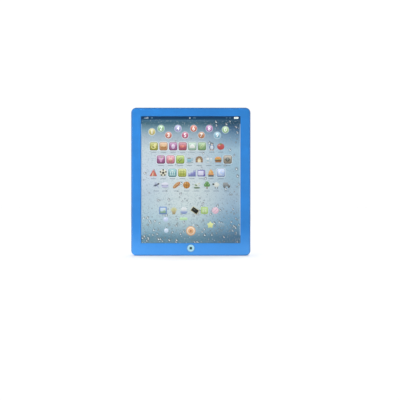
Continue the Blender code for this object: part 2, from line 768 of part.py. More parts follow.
def battery_door(hinge):
    """The door: a plate with two tabs at its lower edge, a screw boss and grip grooves."""
    bm = bmesh.new()
    add_rounded_box(bm, DOOR_X, DOOR_DEPTH, DOOR_Z, DOOR_CORNER, 3)
    door = add_part("battery_door", bm, "blue_plastic", hinge, at=(0, BACK_FACE, HINGE_Z))
    fixings = bmesh.new()
    for side in (-1, 1):
        x = span(TAB_WIDTH, side * TAB_X)
        add_box(fixings, x, (TAB_DEPTH[0], DOOR_DEPTH[0] + 0.5), (DOOR_Z[0], TAB_Z[1]))
    add_cylinder(fixings, 0, DOOR_SCREW_Z, (16.0, DOOR_DEPTH[0] + 0.5), DOOR_BOSS_RADIUS, 16)
    join(door, "boss_and_tab_roots", fixings)
    toes = bmesh.new()
    for side in (-1, 1):
        x = span(TAB_WIDTH - 0.4, side * TAB_X)
        add_box(toes, x, TAB_DEPTH, (TAB_Z[0], TAB_Z[1] - 0.2))
    join(door, "tab_toes", toes)
    openings = bmesh.new()
    add_cylinder(openings, 0, DOOR_SCREW_Z, (DOOR_SCREW_SEAT - GAP, BACK_FACE), 2.7, 16)
    for groove in range(4):
        z = DOOR_Z[1] - 14.0 - groove * 2.2
        add_box(openings, span(18.0), (DOOR_DEPTH[1] - 0.6, BACK_FACE), span(1.0, z))
    cut(door, "counterbore_and_grooves", openings)
    hole = bmesh.new()
    add_cylinder(hole, 0, DOOR_SCREW_Z, (15.0, DOOR_SCREW_SEAT), 1.6, 12)
    cut(door, "screw_hole", hole)


def battery_door_screw(axis):
    mesh = screw_mesh("battery_door_screw", 2.3, 1.5, 1.25, 6.0)
    add_screw("battery_door_screw", mesh, axis, (0, DOOR_SCREW_SEAT, DOOR_SCREW_Z))


def battery_cells(root):
    """Three AAA cells side by side, each turned the other way from the last."""
    half = CELL_LENGTH / 2
    edge = CELL_RADIUS - 0.35
    profile = (
        (0, half), (1.9, half), (1.9, half - 0.8), (edge, half - 0.8), (CELL_RADIUS, half - 1.2),
        (CELL_RADIUS, 0.4 - half), (edge, -half), (0, -half),
    )
    for index in range(CELL_COUNT):
        towards = "left" if index % 2 else "right"
        at = (0, CELL_DEPTH, cell_z(index))
        add_turned(f"battery_cell_{index + 1}", profile, "cell_jacket", root, at, towards, 20)


def battery_contact(name, side, z, root):
    """A spring leaf at one end of the bay: a back strip folded over into a bowed tongue."""
    outer = BAY_X[1] - GAP - CONTACT_THICKNESS / 2
    tongue = CELL_LENGTH / 2 + GAP + CONTACT_THICKNESS
    path = ((outer, 7.4), (outer, 16.2), (outer - 1.3, 16.9), (tongue, CELL_DEPTH), (outer - 1.8, 8.6))
    bm = bmesh.new()
    low = [bm.verts.new((side * x, depth, z[0])) for x, depth in path]
    edges = [bm.edges.new(pair) for pair in zip(low, low[1:])]
    swept = bmesh.ops.extrude_edge_only(bm, edges=edges)["geom"]
    moved = [item for item in swept if isinstance(item, bmesh.types.BMVert)]
    bmesh.ops.translate(bm, vec=(0, 0, z[1] - z[0]), verts=moved)
    add_sheet(name, bm, CONTACT_THICKNESS, "nickel", root)


def battery_contacts(root):
    """One contact at each end of the row of cells, and two bridges that join them in series."""
    width = 8.0
    low, middle, high = (cell_z(index) for index in range(CELL_COUNT))
    battery_contact("contact_positive", 1, span(width, low), root)
    battery_contact("contact_bridge_left", -1, (low - width / 2, middle + width / 2), root)
    battery_contact("contact_bridge_right", 1, (middle - width / 2, high + width / 2), root)
    battery_contact("contact_negative", -1, span(width, high), root)


# ---------------------------------------------------------------- power switch

def switch_knob(axis):
    """The sliding knob: a finger grip, a flange that covers the slot, and a yoke for the lever."""
    x = SWITCH_X - SWITCH_TRAVEL / 2
    bm = bmesh.new()
    add_box(bm, span(14.4, x), (16.6, BACK_WALL - GAP), span(8.0, SWITCH_Z))
    knob = add_part("switch_knob", bm, "black_plastic", axis, at=(x, BACK_FACE, SWITCH_Z))
    grip = bmesh.new()
    add_box(grip, span(KNOB_LENGTH, x), (17.0, BACK_FACE - 0.2), span(KNOB_WIDTH, SWITCH_Z))
    join(knob, "grip", grip)
    yoke = bmesh.new()
    add_box(yoke, span(4.4, x), (14.9, 17.2), span(3.6, SWITCH_Z))
    join(knob, "yoke", yoke)
    openings = bmesh.new()
    add_box(openings, span(2.2, x), (14.0, 16.3), span(2.2, SWITCH_Z))
    for groove in (-1, 0, 1):
        add_box(openings, span(0.7, x + groove * 1.6), (BACK_FACE - 0.7, BACK_FACE + 1), span(6.0, SWITCH_Z))
    cut(knob, "socket_and_grooves", openings)


def switch_lever(axis):
    x = SWITCH_X - SWITCH_TRAVEL / 2
    bm = bmesh.new()
    add_box(bm, span(1.6, x), (12.9, 16.0), span(1.6, SWITCH_Z))
    add_part("switch_lever", bm, "black_plastic", axis, at=(x, BACK_FACE, SWITCH_Z))


def switch_body(root, small_screw):
    """The switch's box and bracket, and the screws that hold it to the rear shell."""
    bm = bmesh.new()
    add_box(bm, span(10.4, SWITCH_X), (9.4, BRACKET_DEPTH[1] - 0.1), span(5.6, SWITCH_Z))
    body = add_part("switch_body", bm, "steel", root)
    bracket = bmesh.new()
    add_rounded_box(bracket, span(29.0, SWITCH_X), BRACKET_DEPTH, span(5.0, SWITCH_Z), 2.0, 2)
    join(body, "bracket", bracket)
    openings = bmesh.new()
    add_box(openings, span(SWITCH_TRAVEL + 2.8, SWITCH_X), (12.6, 15.0), span(2.2, SWITCH_Z))
    for side in (-1, 1):
        post_x = SWITCH_X + side * SWITCH_POST_X
        add_cylinder(openings, post_x, SWITCH_Z, grown(BRACKET_DEPTH, 1), SMALL_HOLE_RADIUS, 10)
    cut(body, "openings", openings)
    for name, side in (("left", -1), ("right", 1)):
        at = (SWITCH_X + side * SWITCH_POST_X, BRACKET_DEPTH[0] - GAP, SWITCH_Z)
        add_screw(f"switch_screw_{name}", small_screw, root, at, "front")


# ---------------------------------------------------------------- speaker

def speaker(root, cone_axis):
    """The speaker, facing the grille: basket, magnet and a cone that moves along its axis."""
    rim_low, rim_high = SPEAKER_RIM_DEPTH
    basket = (
        (15.2, rim_high), (SPEAKER_RADIUS, rim_high), (SPEAKER_RADIUS, rim_low), (15.8, rim_low),
        (10.5, 13.3), (5.0, 13.3), (5.0, 14.1), (10.0, 14.1),
    )
    centre = (0, 0, SPEAKER_Z)
    add_turned("speaker_basket", basket, "steel", root, centre, "back", 32)
    magnet = ((0, 13.0), (8.6, 13.0), (9.0, 12.6), (9.0, 10.5), (8.6, 10.1), (0, 10.1))
    add_turned("speaker_magnet", magnet, "magnet_plate", root, centre, "back", 24)
    cone = (
        (0, 16.1), (2.6, 15.8), (4.6, 15.2), (13.2, 17.3), (13.2, 17.0),
        (4.7, 14.8), (4.4, 13.5), (3.9, 13.5), (3.9, 14.9), (0, 15.5),
    )
    add_turned("speaker_cone", cone, "paper_cone", cone_axis, centre, "back", 28)


def speaker_clamp(root, small_screw):
    """The ring that holds the speaker's rim to the rear shell, and its two screws."""
    bm = bmesh.new()
    add_ring(bm, 0, SPEAKER_Z, CLAMP_DEPTH, 16.2, 20.0)
    clamp = add_part("speaker_clamp", bm, "grey_plastic", root)
    ears = bmesh.new()
    ear_depth = grown(CLAMP_DEPTH, -0.05)
    for side in (-1, 1):
        ear_x = sorted((side * 17.5, side * (CLAMP_POST_X + 3.0)))
        add_rounded_box(ears, ear_x, ear_depth, span(6.4, SPEAKER_Z), 1.2, 2)
    join(clamp, "ears", ears)
    holes = bmesh.new()
    for side in (-1, 1):
        add_cylinder(holes, side * CLAMP_POST_X, SPEAKER_Z, grown(CLAMP_DEPTH, 1), SMALL_HOLE_RADIUS, 10)
    cut(clamp, "holes", holes)
    for name, side in (("left", -1), ("right", 1)):
        at = (side * CLAMP_POST_X, CLAMP_DEPTH[0] - GAP, SPEAKER_Z)
        add_screw(f"clamp_screw_{name}", small_screw, root, at, "front")


# ---------------------------------------------------------------- main board

def main_board(root, small_screw):
    bm = bmesh.new()
    add_rounded_box(bm, BOARD_X, BOARD_DEPTH, BOARD_Z, 1.5, 2)
    board = add_part("main_board", bm, "circuit_board", root)
    holes = bmesh.new()
    for x, z in board_screw_places():
        add_cylinder(holes, x, z, grown(BOARD_DEPTH, 1), SMALL_HOLE_RADIUS, 10)
    cut(board, "holes", holes)
    for number, (x, z) in enumerate(board_screw_places(), start=1):
        add_screw(f"board_screw_{number}", small_screw, root, (x, BOARD_FACE, z))


def board_parts(root):
    """The chip under its blob of epoxy, the capacitor and the amplifier."""
    blob = ((0, 1.8), (3.4, 1.6), (5.8, 0.9), (6.8, 0), (0, 0))
    add_turned("chip_blob", blob, "epoxy", root, (-10.0, BOARD_FACE, 127.0), "back", 24)
    can = ((0, 6.4), (2.2, 6.4), (2.5, 6.1), (2.5, 1.0), (2.25, 0.7), (2.5, 0.3), (2.4, 0), (0, 0))
    add_turned("capacitor", can, "capacitor_sleeve", root, (18.0, BOARD_FACE, 118.0), "back", 16)
    bm = bmesh.new()
    add_box(bm, span(5.0, 12.0), (BOARD_FACE, BOARD_FACE + 1.6), span(6.0, 132.0))
    add_part("amplifier_chip", bm, "epoxy", root)


def socket(name, x, z, height, mouth, root):
    """A connector housing on the main board. Its mouth opens upwards (1) or downwards (-1)."""
    depth = (BOARD_FACE, BOARD_FACE + height)
    bm = bmesh.new()
    add_box(bm, x, depth, z)
    housing = add_part(name, bm, "white_nylon", root)
    pocket = bmesh.new()
    pocket_z = (z[1] - 2.6, z[1] + 1) if mouth > 0 else (z[0] - 1, z[0] + 2.6)
    add_box(pocket, grown(x, -0.7), grown(depth, -0.6), pocket_z)
    cut(housing, "pocket", pocket)


def sockets(root):
    socket("tail_connector", span(TAIL_WIDTH + 2.6), CONNECTOR_Z, 3.0, 1, root)
    socket("speaker_socket", (14.0, 20.5), CONNECTOR_Z, 3.6, 1, root)
    socket("battery_socket", span(7.4), (106.6, 111.6), 3.6, -1, root)


# ---------------------------------------------------------------- wires

def wires(root):
    """The leads, as routes of (x, depth, z) points."""
    exit_x = BAY_X[1]
    low, high = cell_z(0), cell_z(CELL_COUNT - 1)
    socket_depth = BOARD_FACE + 1.8
    add_wire("battery_wire_black", (
        (-exit_x, WIRE_EXIT_DEPTH, high), (-30.5, WIRE_EXIT_DEPTH, high), (-34.0, 9.8, high + 4.0),
        (-33.0, 10.2, 96.0), (-24.0, 10.3, 101.5), (-9.0, 10.3, 102.6), (-2.6, 10.3, 104.4),
        (-1.6, socket_depth, 107.4),
    ), WIRE_RADIUS, "black_wire", root)
    add_wire("battery_wire_red", (
        (exit_x, WIRE_EXIT_DEPTH, low), (31.0, WIRE_EXIT_DEPTH, low), (37.0, 10.0, 63.0),
        (44.0, 10.6, 71.5), (49.0, 11.2, 76.0), (52.4, 11.4, 78.6),
    ), WIRE_RADIUS, "red_wire", root)
    add_wire("switch_wire", (
        (56.0, 11.2, 83.2), (54.0, 11.0, 88.0), (46.0, 10.6, 96.0), (30.0, 10.3, 101.5),
        (11.0, 10.3, 102.6), (3.0, 10.3, 104.4), (1.6, socket_depth, 107.4),
    ), WIRE_RADIUS, "red_wire", root)
    for name, x, start_x, finish_name in (("red", 15.9, 9.7, "red_wire"), ("black", 18.6, 12.4, "black_wire")):
        lift = (start_x - 9.7) * 0.9
        add_wire(f"speaker_wire_{name}", (
            (start_x, 14.3, 172.2 + lift), (start_x + 1.4, 13.4, 168.6 + lift), (x - 1.4, 12.2, 160.0),
            (x, 11.4, 153.0), (x, socket_depth, 149.4), (x, socket_depth, 146.0),
        ), WIRE_RADIUS, finish_name, root)
    add_wire("key_cable", (
        (-6.0, 10.2, 16.0), (-9.0, 10.8, 21.0), (-22.0, 11.0, 34.0), (-38.0, 11.0, 54.0),
        (-41.0, 11.0, 78.0), (-37.0, 11.0, 98.0), (-24.0, 10.8, 108.5), (-18.0, 10.0, 114.0),
    ), 0.9, "grey_wire", root)


# ---------------------------------------------------------------- assembly

def main():
    empty_scene()
    root = add_axis("case_frame", 0, THICKNESS / 2, 0)
    button_axis = add_axis("home_button_axis", 0, 0, BUTTON_Z)
    door_hinge = add_axis("battery_door_hinge", 0, BACK_FACE, HINGE_Z)
    door_screw_axis = add_axis("battery_door_screw_axis", 0, BACK_FACE, DOOR_SCREW_Z)
    switch_axis = add_axis("power_switch_axis", SWITCH_X, BACK_FACE, SWITCH_Z)
    cone_axis = add_axis("speaker_cone_axis", 0, BACK_WALL, SPEAKER_Z)
    small_screw = screw_mesh("small_screw", 1.9, 1.2, 0.9, 3.8)

    front_shell(root)
    rear_shell(root)
    case_screws(root)
    picture_overlay(root)
    membrane(root)
    membrane_tail(root)
    backplate(root)
    home_button(button_axis)
    button_dome(root)
    key_board(root, small_screw)
    battery_door(door_hinge)
    battery_door_screw(door_screw_axis)
    battery_cells(root)
    battery_contacts(root)
    switch_knob(switch_axis)
    switch_lever(switch_axis)
    switch_body(root, small_screw)
    speaker(root, cone_axis)
    speaker_clamp(root, small_screw)
    main_board(root, small_screw)
    board_parts(root)
    sockets(root)
    wires(root)


main()
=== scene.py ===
"""Looks of the toy touch tablet: fine shells, a printed picture panel, and a material for every piece.

Sizes are in millimetres and are turned into metres when a piece is made. A depth is measured from the
front face towards the back, as in the CAD model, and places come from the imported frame's nodes.
"""
import json
import math
import random

import bmesh
import bpy
from mathutils import Matrix, Vector
from mathutils.geometry import delaunay_2d_cdt


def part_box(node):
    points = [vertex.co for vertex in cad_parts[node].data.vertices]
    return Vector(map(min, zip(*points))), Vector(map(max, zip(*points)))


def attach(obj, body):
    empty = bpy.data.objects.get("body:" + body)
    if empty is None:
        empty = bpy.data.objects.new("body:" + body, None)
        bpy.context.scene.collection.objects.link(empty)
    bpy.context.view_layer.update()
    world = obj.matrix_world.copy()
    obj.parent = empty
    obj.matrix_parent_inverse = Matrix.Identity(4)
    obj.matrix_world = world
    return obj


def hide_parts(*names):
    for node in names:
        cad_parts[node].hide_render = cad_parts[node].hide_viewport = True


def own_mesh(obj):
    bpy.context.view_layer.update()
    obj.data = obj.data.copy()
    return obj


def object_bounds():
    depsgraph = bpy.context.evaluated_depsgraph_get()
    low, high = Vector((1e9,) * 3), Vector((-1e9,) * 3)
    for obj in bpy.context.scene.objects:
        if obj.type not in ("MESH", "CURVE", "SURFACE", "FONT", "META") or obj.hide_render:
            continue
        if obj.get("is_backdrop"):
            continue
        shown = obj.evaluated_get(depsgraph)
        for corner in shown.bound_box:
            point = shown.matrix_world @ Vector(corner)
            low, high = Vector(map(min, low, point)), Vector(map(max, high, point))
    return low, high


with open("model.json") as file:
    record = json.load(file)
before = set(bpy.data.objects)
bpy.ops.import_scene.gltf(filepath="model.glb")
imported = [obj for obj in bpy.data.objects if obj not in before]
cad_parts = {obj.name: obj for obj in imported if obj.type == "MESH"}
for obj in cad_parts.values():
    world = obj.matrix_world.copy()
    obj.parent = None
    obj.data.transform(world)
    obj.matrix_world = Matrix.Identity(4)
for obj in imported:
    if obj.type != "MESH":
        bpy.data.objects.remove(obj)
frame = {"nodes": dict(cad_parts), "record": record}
CAD_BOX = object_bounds()

MM = 0.001
GAP = 0.3                      # clearance between neighbouring pieces
OUT = 1.5                      # how far a cutter runs past the surface it opens
FRONT_Y = CAD_BOX[0].y         # the front face, where depth is 0


# ---------------------------------------------------------------- places taken from the frame

def in_millimetres(low, high):
    """(low, high) extents along x, depth and z, of a box in the frame."""
    return [((a - o) / MM, (b - o) / MM) for a, b, o in zip(low, high, (0.0, FRONT_Y, 0.0))]


def extents(node):
    return in_millimetres(*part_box(node))


def middle(node):
    """The centre of a CAD node as (x, depth, z)."""
    return [sum(extent) / 2 for extent in extents(node)]


def grown(extent, margin):
    """An extent made larger by a margin at both ends."""
    return (extent[0] - margin, extent[1] + margin)


def span(length, centre=0.0):
    """The (low, high) extent of a length about its centre."""
    return (centre - length / 2, centre + length / 2)


CASE_X, CASE_DEPTH, CASE_Z = in_millimetres(*CAD_BOX)
BACK = CASE_DEPTH[1]
CORNER = 8.5
WALL = 2.0
BACK_WALL = BACK - WALL        # depth of the back wall's inner face
LIP = 0.9                      # thickness of the tongue where the shells meet
PARTING = 11.0                 # depth of the line between the shells
FRONT_ROUND = 2.2
BACK_ROUND = 3.0
SEAM_ROUND = 0.25
OVERLAY_X, OVERLAY_DEPTH, OVERLAY_Z = extents("picture_overlay")
WINDOW_X = grown(OVERLAY_X, -3.5)
WINDOW_Z = (OVERLAY_Z[0] + 0.9, OVERLAY_Z[1] - 3.5)
PANEL_Z = sum(WINDOW_Z) / 2
PANEL_HEIGHT = WINDOW_Z[1] - WINDOW_Z[0]
REBATE_DEPTH = 1.0
BUTTON_X, _, BUTTON_Z = middle("home_button")
DOOR_X, _, DOOR_BOX_Z = extents("battery_door")
DOOR_Z = (DOOR_BOX_Z[0] + 1.8, DOOR_BOX_Z[1])      # the plate without the tabs' toes
DOOR_PLATE = (18.1, 19.7)
DOOR_SCREW_X, _, DOOR_SCREW_Z = middle("battery_door_screw")
LEDGE_DEPTH = 17.8
BAY_X = (-27.5, 27.5)
BAY_Z = (DOOR_Z[0] + 1.9, DOOR_Z[1] - 11.1)
BAY_FLOOR = (5.5, 6.7)
BAY_WALL = 1.2
TAB_X = 18.0
TAB_WIDTH = 6.0
GRILLE_X, _, GRILLE_Z = middle("speaker_basket")
KNOB_X, KNOB_DEPTH, KNOB_FLANGE_Z = extents("switch_knob")
KNOB_TRAVEL = 3.5
SWITCH_X = (sum(KNOB_X) + KNOB_TRAVEL) / 2         # the middle of the knob's travel
SWITCH_Z = sum(KNOB_FLANGE_Z) / 2


# ---------------------------------------------------------------- drawing solids

ON_AXIS = 1e-3                 # points this near a turned solid's axis are one point
NO_LENGTH = 1e-4               # edges shorter than this are dropped after a cut
SINK = 0.01                    # how far a rounded mouth runs past its face, so that the cut is clean
SHARP_ANGLE = math.radians(30) # an edge that turns further than this is shaded sharp

def corner_ring(x, z, radius, depth, steps=9):
    """The points of a rounded rectangle at one depth."""
    corners = ((x[1] - radius, z[1] - radius), (x[0] + radius, z[1] - radius),
               (x[0] + radius, z[0] + radius), (x[1] - radius, z[0] + radius))
    points = []
    for quarter_turn, (centre_x, centre_z) in enumerate(corners):
        for step in range(steps + 1):
            angle = (quarter_turn + step / steps) * math.pi / 2
            points.append((centre_x + radius * math.cos(angle), depth, centre_z + radius * math.sin(angle)))
    return points


def case_ring(inset, depth):
    return corner_ring(grown(CASE_X, -inset), grown(CASE_Z, -inset), CORNER - inset, depth)


def window_ring(margin, depth):
    return corner_ring(grown(WINDOW_X, margin), grown(WINDOW_Z, margin), 1.0 + margin, depth)


def turned_ring(x, z, radius, depth, segments=48):
    """The points of a circle at one depth."""
    turns = [2 * math.pi * step / segments for step in range(segments)]
    return [(x + radius * math.cos(turn), depth, z + radius * math.sin(turn)) for turn in turns]


def quarter(steps=6):
    """A rounded edge of radius 1 from its wall to its face, as (distance in, distance down) points."""
    turns = [step / steps * math.pi / 2 for step in range(steps + 1)]
    return [(1 - math.cos(turn), 1 - math.sin(turn)) for turn in turns]


def add_loft(bm, rings, closed=False):
    """Join rings of equal length into a tube, with its ends capped or joined to each other."""
    loops = [[bm.verts.new(point) for point in ring] for ring in rings]
    pairs = list(zip(loops, loops[1:]))
    if closed:
        pairs.append((loops[-1], loops[0]))
    for one, two in pairs:
        for i, vert in enumerate(one):
            following = (i + 1) % len(one)
            bm.faces.new((vert, one[following], two[following], two[i]))
    if not closed:
        bm.faces.new(loops[0])
        bm.faces.new(loops[-1])
    bmesh.ops.recalc_face_normals(bm, faces=bm.faces)


def add_box(bm, x, depth, z):
    """Add a box from its (low, high) extents."""
    add_loft(bm, [[(x[0], d, z[0]), (x[1], d, z[0]), (x[1], d, z[1]), (x[0], d, z[1])] for d in depth])


def add_slab(bm, x, depth, z, corner, edge):
    """Add a plate with rounded corners, and rounded edges on both faces."""
    front = [(edge * inward, depth[0] + edge * down) for inward, down in quarter(4)]
    back = [(edge * inward, depth[1] - edge * down) for inward, down in quarter(4)]
    profile = front[::-1] + back
    add_loft(bm, [corner_ring(grown(x, -g), grown(z, -g), max(corner - g, 0.05), d) for g, d in profile])


def add_turned(bm, x, z, profile, segments=48):
    """Add a solid turned about a line along the depth, from (radius, depth) points that end on it."""
    verts = [bm.verts.new((x + radius, depth, z)) for radius, depth in profile]
    edges = [bm.edges.new(pair) for pair in zip(verts, verts[1:])]
    bmesh.ops.spin(bm, geom=verts + edges, cent=(x, 0, z), axis=(0, 1, 0), angle=2 * math.pi,
                   steps=segments, use_merge=True)
    on_axis = [v for v in bm.verts if math.hypot(v.co.x - x, v.co.z - z) < ON_AXIS]
    bmesh.ops.remove_doubles(bm, verts=on_axis, dist=ON_AXIS)
    bmesh.ops.recalc_face_normals(bm, faces=bm.faces)


def add_cylinder(bm, x, z, depth, radius, segments=28):
    add_turned(bm, x, z, [(0, depth[0]), (radius, depth[0]), (radius, depth[1]), (0, depth[1])], segments)


def flare(floor, surface, edge):
    """A cutter's wall from its floor out through a face, whose edge it rounds, as (growth, depth) points."""
    inward = 1 if floor > surface else -1
    mouth = [(edge * g, surface + inward * (edge * down - SINK)) for g, down in quarter()]
    return [(0, floor), *mouth, (edge, surface - inward * OUT)]


def add_flared_hole(bm, x, z, radius, floor, surface, edge, segments=36):
    """Add a round cutter that leaves a rounded edge on the face it opens."""
    wall = [(radius + growth, depth) for growth, depth in flare(floor, surface, edge)]
    add_turned(bm, x, z, [(0, wall[0][1]), *wall, (0, wall[-1][1])], segments)


def add_flared_opening(bm, x, z, corner, floor, surface, edge):
    """Add a rounded rectangular cutter that leaves a rounded edge on the face it opens."""
    wall = flare(floor, surface, edge)
    add_loft(bm, [corner_ring(grown(x, g), grown(z, g), corner + g, depth) for g, depth in wall])


def drawn(draw, *arguments, **options):
    """A bmesh with one shape in it."""
    bm = bmesh.new()
    draw(bm, *arguments, **options)
    return bm


def to_object(name, bm):
    mesh = bpy.data.meshes.new(name)
    bm.to_mesh(mesh)
    bm.free()
    obj = bpy.data.objects.new(name, mesh)
    bpy.context.scene.collection.objects.link(obj)
    return obj


def worked(bm, *steps):
    """Join solids to a drawn one, or cut it by them: each step is "UNION" or "DIFFERENCE" and a bmesh."""
    base = to_object("work", bm)
    tools = []
    for operation, tool_bm in steps:
        tools.append(to_object("tool", tool_bm))
        modifier = base.modifiers.new(operation, "BOOLEAN")
        modifier.operation = operation
        modifier.object = tools[-1]
    evaluated = base.evaluated_get(bpy.context.evaluated_depsgraph_get())
    result = bmesh.new()
    result.from_mesh(evaluated.to_mesh())
    evaluated.to_mesh_clear()
    for obj in [base, *tools]:
        bpy.data.objects.remove(obj, do_unlink=True)
    bmesh.ops.dissolve_degenerate(result, dist=NO_LENGTH, edges=result.edges)
    return result


def piece(name, bm, material, body, stands_for=()):
    """A finished piece that rides on a body."""
    to_metres = Matrix.Translation((0, FRONT_Y, 0)) @ Matrix.Scale(MM, 4)
    bmesh.ops.transform(bm, matrix=to_metres, verts=bm.verts)
    obj = to_object(name, bm)
    obj.data.shade_smooth()
    obj.data.set_sharp_from_angle(angle=SHARP_ANGLE)
    obj.modifiers.new("face_normals", "WEIGHTED_NORMAL").keep_sharp = True
    obj.data.materials.append(material)
    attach(obj, body)
    if stands_for:
        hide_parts(*stands_for)
    return obj


# ---------------------------------------------------------------- materials

BLUE = (24, 106, 176)
FOOT_PAINTED_LIGHT_BLUE = (84, 160, 232)         # painted light: the case's blue is made a little paler towards its foot
RIM_PAINTED_SHADE = (58, 88, 116)           # painted shade: greyer and darker at its rounded rim
INK_LAYER = "ink"
FILM_SHADE = 0.35                  # how much of the light the clear film keeps from the print

# The wallpaper's colours, from the window's foot (0) to its head (1): over its left part, then at its right.
WALLPAPER = (
    (0.049, (101, 142, 161), (74, 113, 143)), (0.096, (139, 175, 191), (96, 137, 166)),
    (0.143, (157, 187, 198), (111, 157, 186)), (0.191, (169, 197, 209), (121, 163, 191)),
    (0.285, (179, 201, 211), (153, 184, 207)), (0.38, (178, 197, 210), (163, 188, 206)),
    (0.52, (194, 208, 221), (158, 190, 207)), (0.734, (194, 208, 216), (162, 195, 215)),
    (0.852, (158, 179, 193), (103, 141, 171)), (0.899, (116, 151, 168), (62, 102, 140)),
    (0.946, (60, 99, 117), (24, 67, 95)), (0.986, (67, 108, 140), (50, 90, 120)),
)
WALLPAPER_LEFT = [(share, left) for share, left, _ in WALLPAPER]
WALLPAPER_RIGHT = [(share, right) for share, _, right in WALLPAPER]
WALLPAPER_TURN = (-5.0, 78.0)      # between these its colours go from the left ones to the right ones


def linear(colour):
    """A linear RGBA colour from sRGB levels of 0 to 255."""
    levels = [c / 255 for c in colour]
    return [c / 12.92 if c <= 0.04045 else ((c + 0.055) / 1.055) ** 2.4 for c in levels] + [1.0]


class Nodes:
    """A node tree, with short ways to add the nodes used here."""

    def __init__(self, tree, place="Object"):
        self.tree = tree
        self.place = self.node("ShaderNodeTexCoord").outputs[place]

    def node(self, kind, inputs=None, **settings):
        """Add a node, with its settings, and a link or a plain value for each input that is named."""
        made = self.tree.nodes.new(kind)
        for name, value in settings.items():
            setattr(made, name, value)
        for name, value in (inputs or {}).items():
            self.fill(made.inputs[name], value)
        return made

    def fill(self, socket, value):
        if isinstance(value, bpy.types.NodeSocket):
            self.tree.links.new(value, socket)
        else:
            socket.default_value = value

    def scaled(self, per_mm, shift=(0.0, 0.0, 0.0)):
        """The coordinates times a scale per millimetre: one number, or one for each axis."""
        scale = per_mm if isinstance(per_mm, tuple) else (per_mm,) * 3
        inputs = {"Scale": [s / MM for s in scale], "Location": shift, "Vector": self.place}
        return self.node("ShaderNodeMapping", inputs).outputs["Vector"]

    def noise(self, per_mm, detail=2.0, roughness=0.5):
        inputs = {"Scale": 1.0, "Detail": detail, "Roughness": roughness, "Vector": self.scaled(per_mm)}
        return self.node("ShaderNodeTexNoise", inputs).outputs["Fac"]

    def cells(self, per_mm, shift=(0.0, 0.0, 0.0)):
        """The distance to the nearest of scattered points."""
        inputs = {"Scale": 1.0, "Vector": self.scaled(per_mm, shift)}
        return self.node("ShaderNodeTexVoronoi", inputs).outputs["Distance"]

    def remap(self, value, low, high, to_low, to_high, smooth=False):
        inputs = {"Value": value, "From Min": low, "From Max": high, "To Min": to_low, "To Max": to_high}
        curve = "SMOOTHSTEP" if smooth else "LINEAR"
        return self.node("ShaderNodeMapRange", inputs, interpolation_type=curve).outputs["Result"]

    def ramp(self, value, stops):
        """A colour from a value, by (position, sRGB colour) stops."""
        made = self.node("ShaderNodeValToRGB", {"Fac": value})
        points = made.color_ramp.elements
        while len(points) < len(stops):
            points.new(0.5)
        for point, (position, colour) in zip(points, stops):
            point.position = position
            point.color = linear(colour)
        return made.outputs["Color"]

    def mix(self, factor, one, two):
        """Mix two colours, each a socket or an sRGB colour."""
        made = self.node("ShaderNodeMix", {"Factor": factor}, data_type="RGBA")
        colours = [socket for socket in made.inputs if socket.type == "RGBA"]
        for socket, source in zip(colours, (one, two)):
            self.fill(socket, source if isinstance(source, bpy.types.NodeSocket) else linear(source))
        return next(socket for socket in made.outputs if socket.type == "RGBA")

    def maths(self, operation, *values):
        made = self.node("ShaderNodeMath", operation=operation)
        for socket, value in zip(made.inputs, values):
            self.fill(socket, value)
        return made.outputs["Value"]

    def axes(self):
        """The coordinates' x, y and z."""
        return self.node("ShaderNodeSeparateXYZ", {"Vector": self.place}).outputs

    def distance_from(self, x, z):
        """The distance from a line along the depth, in metres."""
        axes = self.axes()
        offsets = (self.maths("SUBTRACT", axes[0], x * MM), self.maths("SUBTRACT", axes[2], z * MM))
        squares = [self.maths("MULTIPLY", value, value) for value in offsets]
        return self.maths("SQRT", self.maths("ADD", *squares))


class Shader(Nodes):
    """A material with one principled shader. Its coordinates are the object's, in metres."""

    def __init__(self, name, colour, roughness, metallic=0.0):
        self.material = bpy.data.materials.new(name)
        self.material.use_nodes = True
        self.material.diffuse_color = linear(colour)
        super().__init__(self.material.node_tree)
        self.bsdf = self.tree.nodes["Principled BSDF"]
        self.set("Base Color", linear(colour))
        self.set("Roughness", roughness)
        self.set("Metallic", metallic)

    def set(self, socket, value):
        self.fill(self.bsdf.inputs[socket], value)

    def bump(self, height, depth_mm):
        made = self.node("ShaderNodeBump", {"Distance": depth_mm * MM, "Height": height})
        self.set("Normal", made.outputs["Normal"])

    def vary(self, colour, amount, per_mm):
        """Colour the surface with slow, slight changes in lightness."""
        shade = self.remap(self.noise(per_mm), 0.3, 0.7, 0.0, 1.0)
        darker, lighter = [[min(255, c * k) for c in colour] for k in (1 - amount, 1 + amount)]
        self.set("Base Color", self.mix(shade, darker, lighter))

    def vary_roughness(self, low, high, per_mm):
        self.set("Roughness", self.remap(self.noise(per_mm), 0.3, 0.7, low, high))


def plastic(name, colour, roughness, grain=2.2, depth=0.012, mottle=0.03):
    """Moulded plastic: a fine grain from the mould, and slight changes in colour and gloss."""
    shader = Shader(name, colour, roughness)
    shader.vary(colour, mottle, 0.05)
    shader.vary_roughness(roughness - 0.05, roughness + 0.06, 0.12)
    shader.bump(shader.noise(grain, detail=3.0), depth)
    return shader.material


def metal(name, colour, roughness):
    """Plated or rolled metal: fine lines in one direction, and cloudy gloss."""
    brushed = (1.5, 1.5, 20.0)
    shader = Shader(name, colour, roughness, metallic=1.0)
    shader.vary(colour, 0.08, brushed)
    shader.vary_roughness(roughness - 0.08, roughness + 0.12, 0.6)
    shader.bump(shader.noise(brushed), 0.004)
    return shader.material


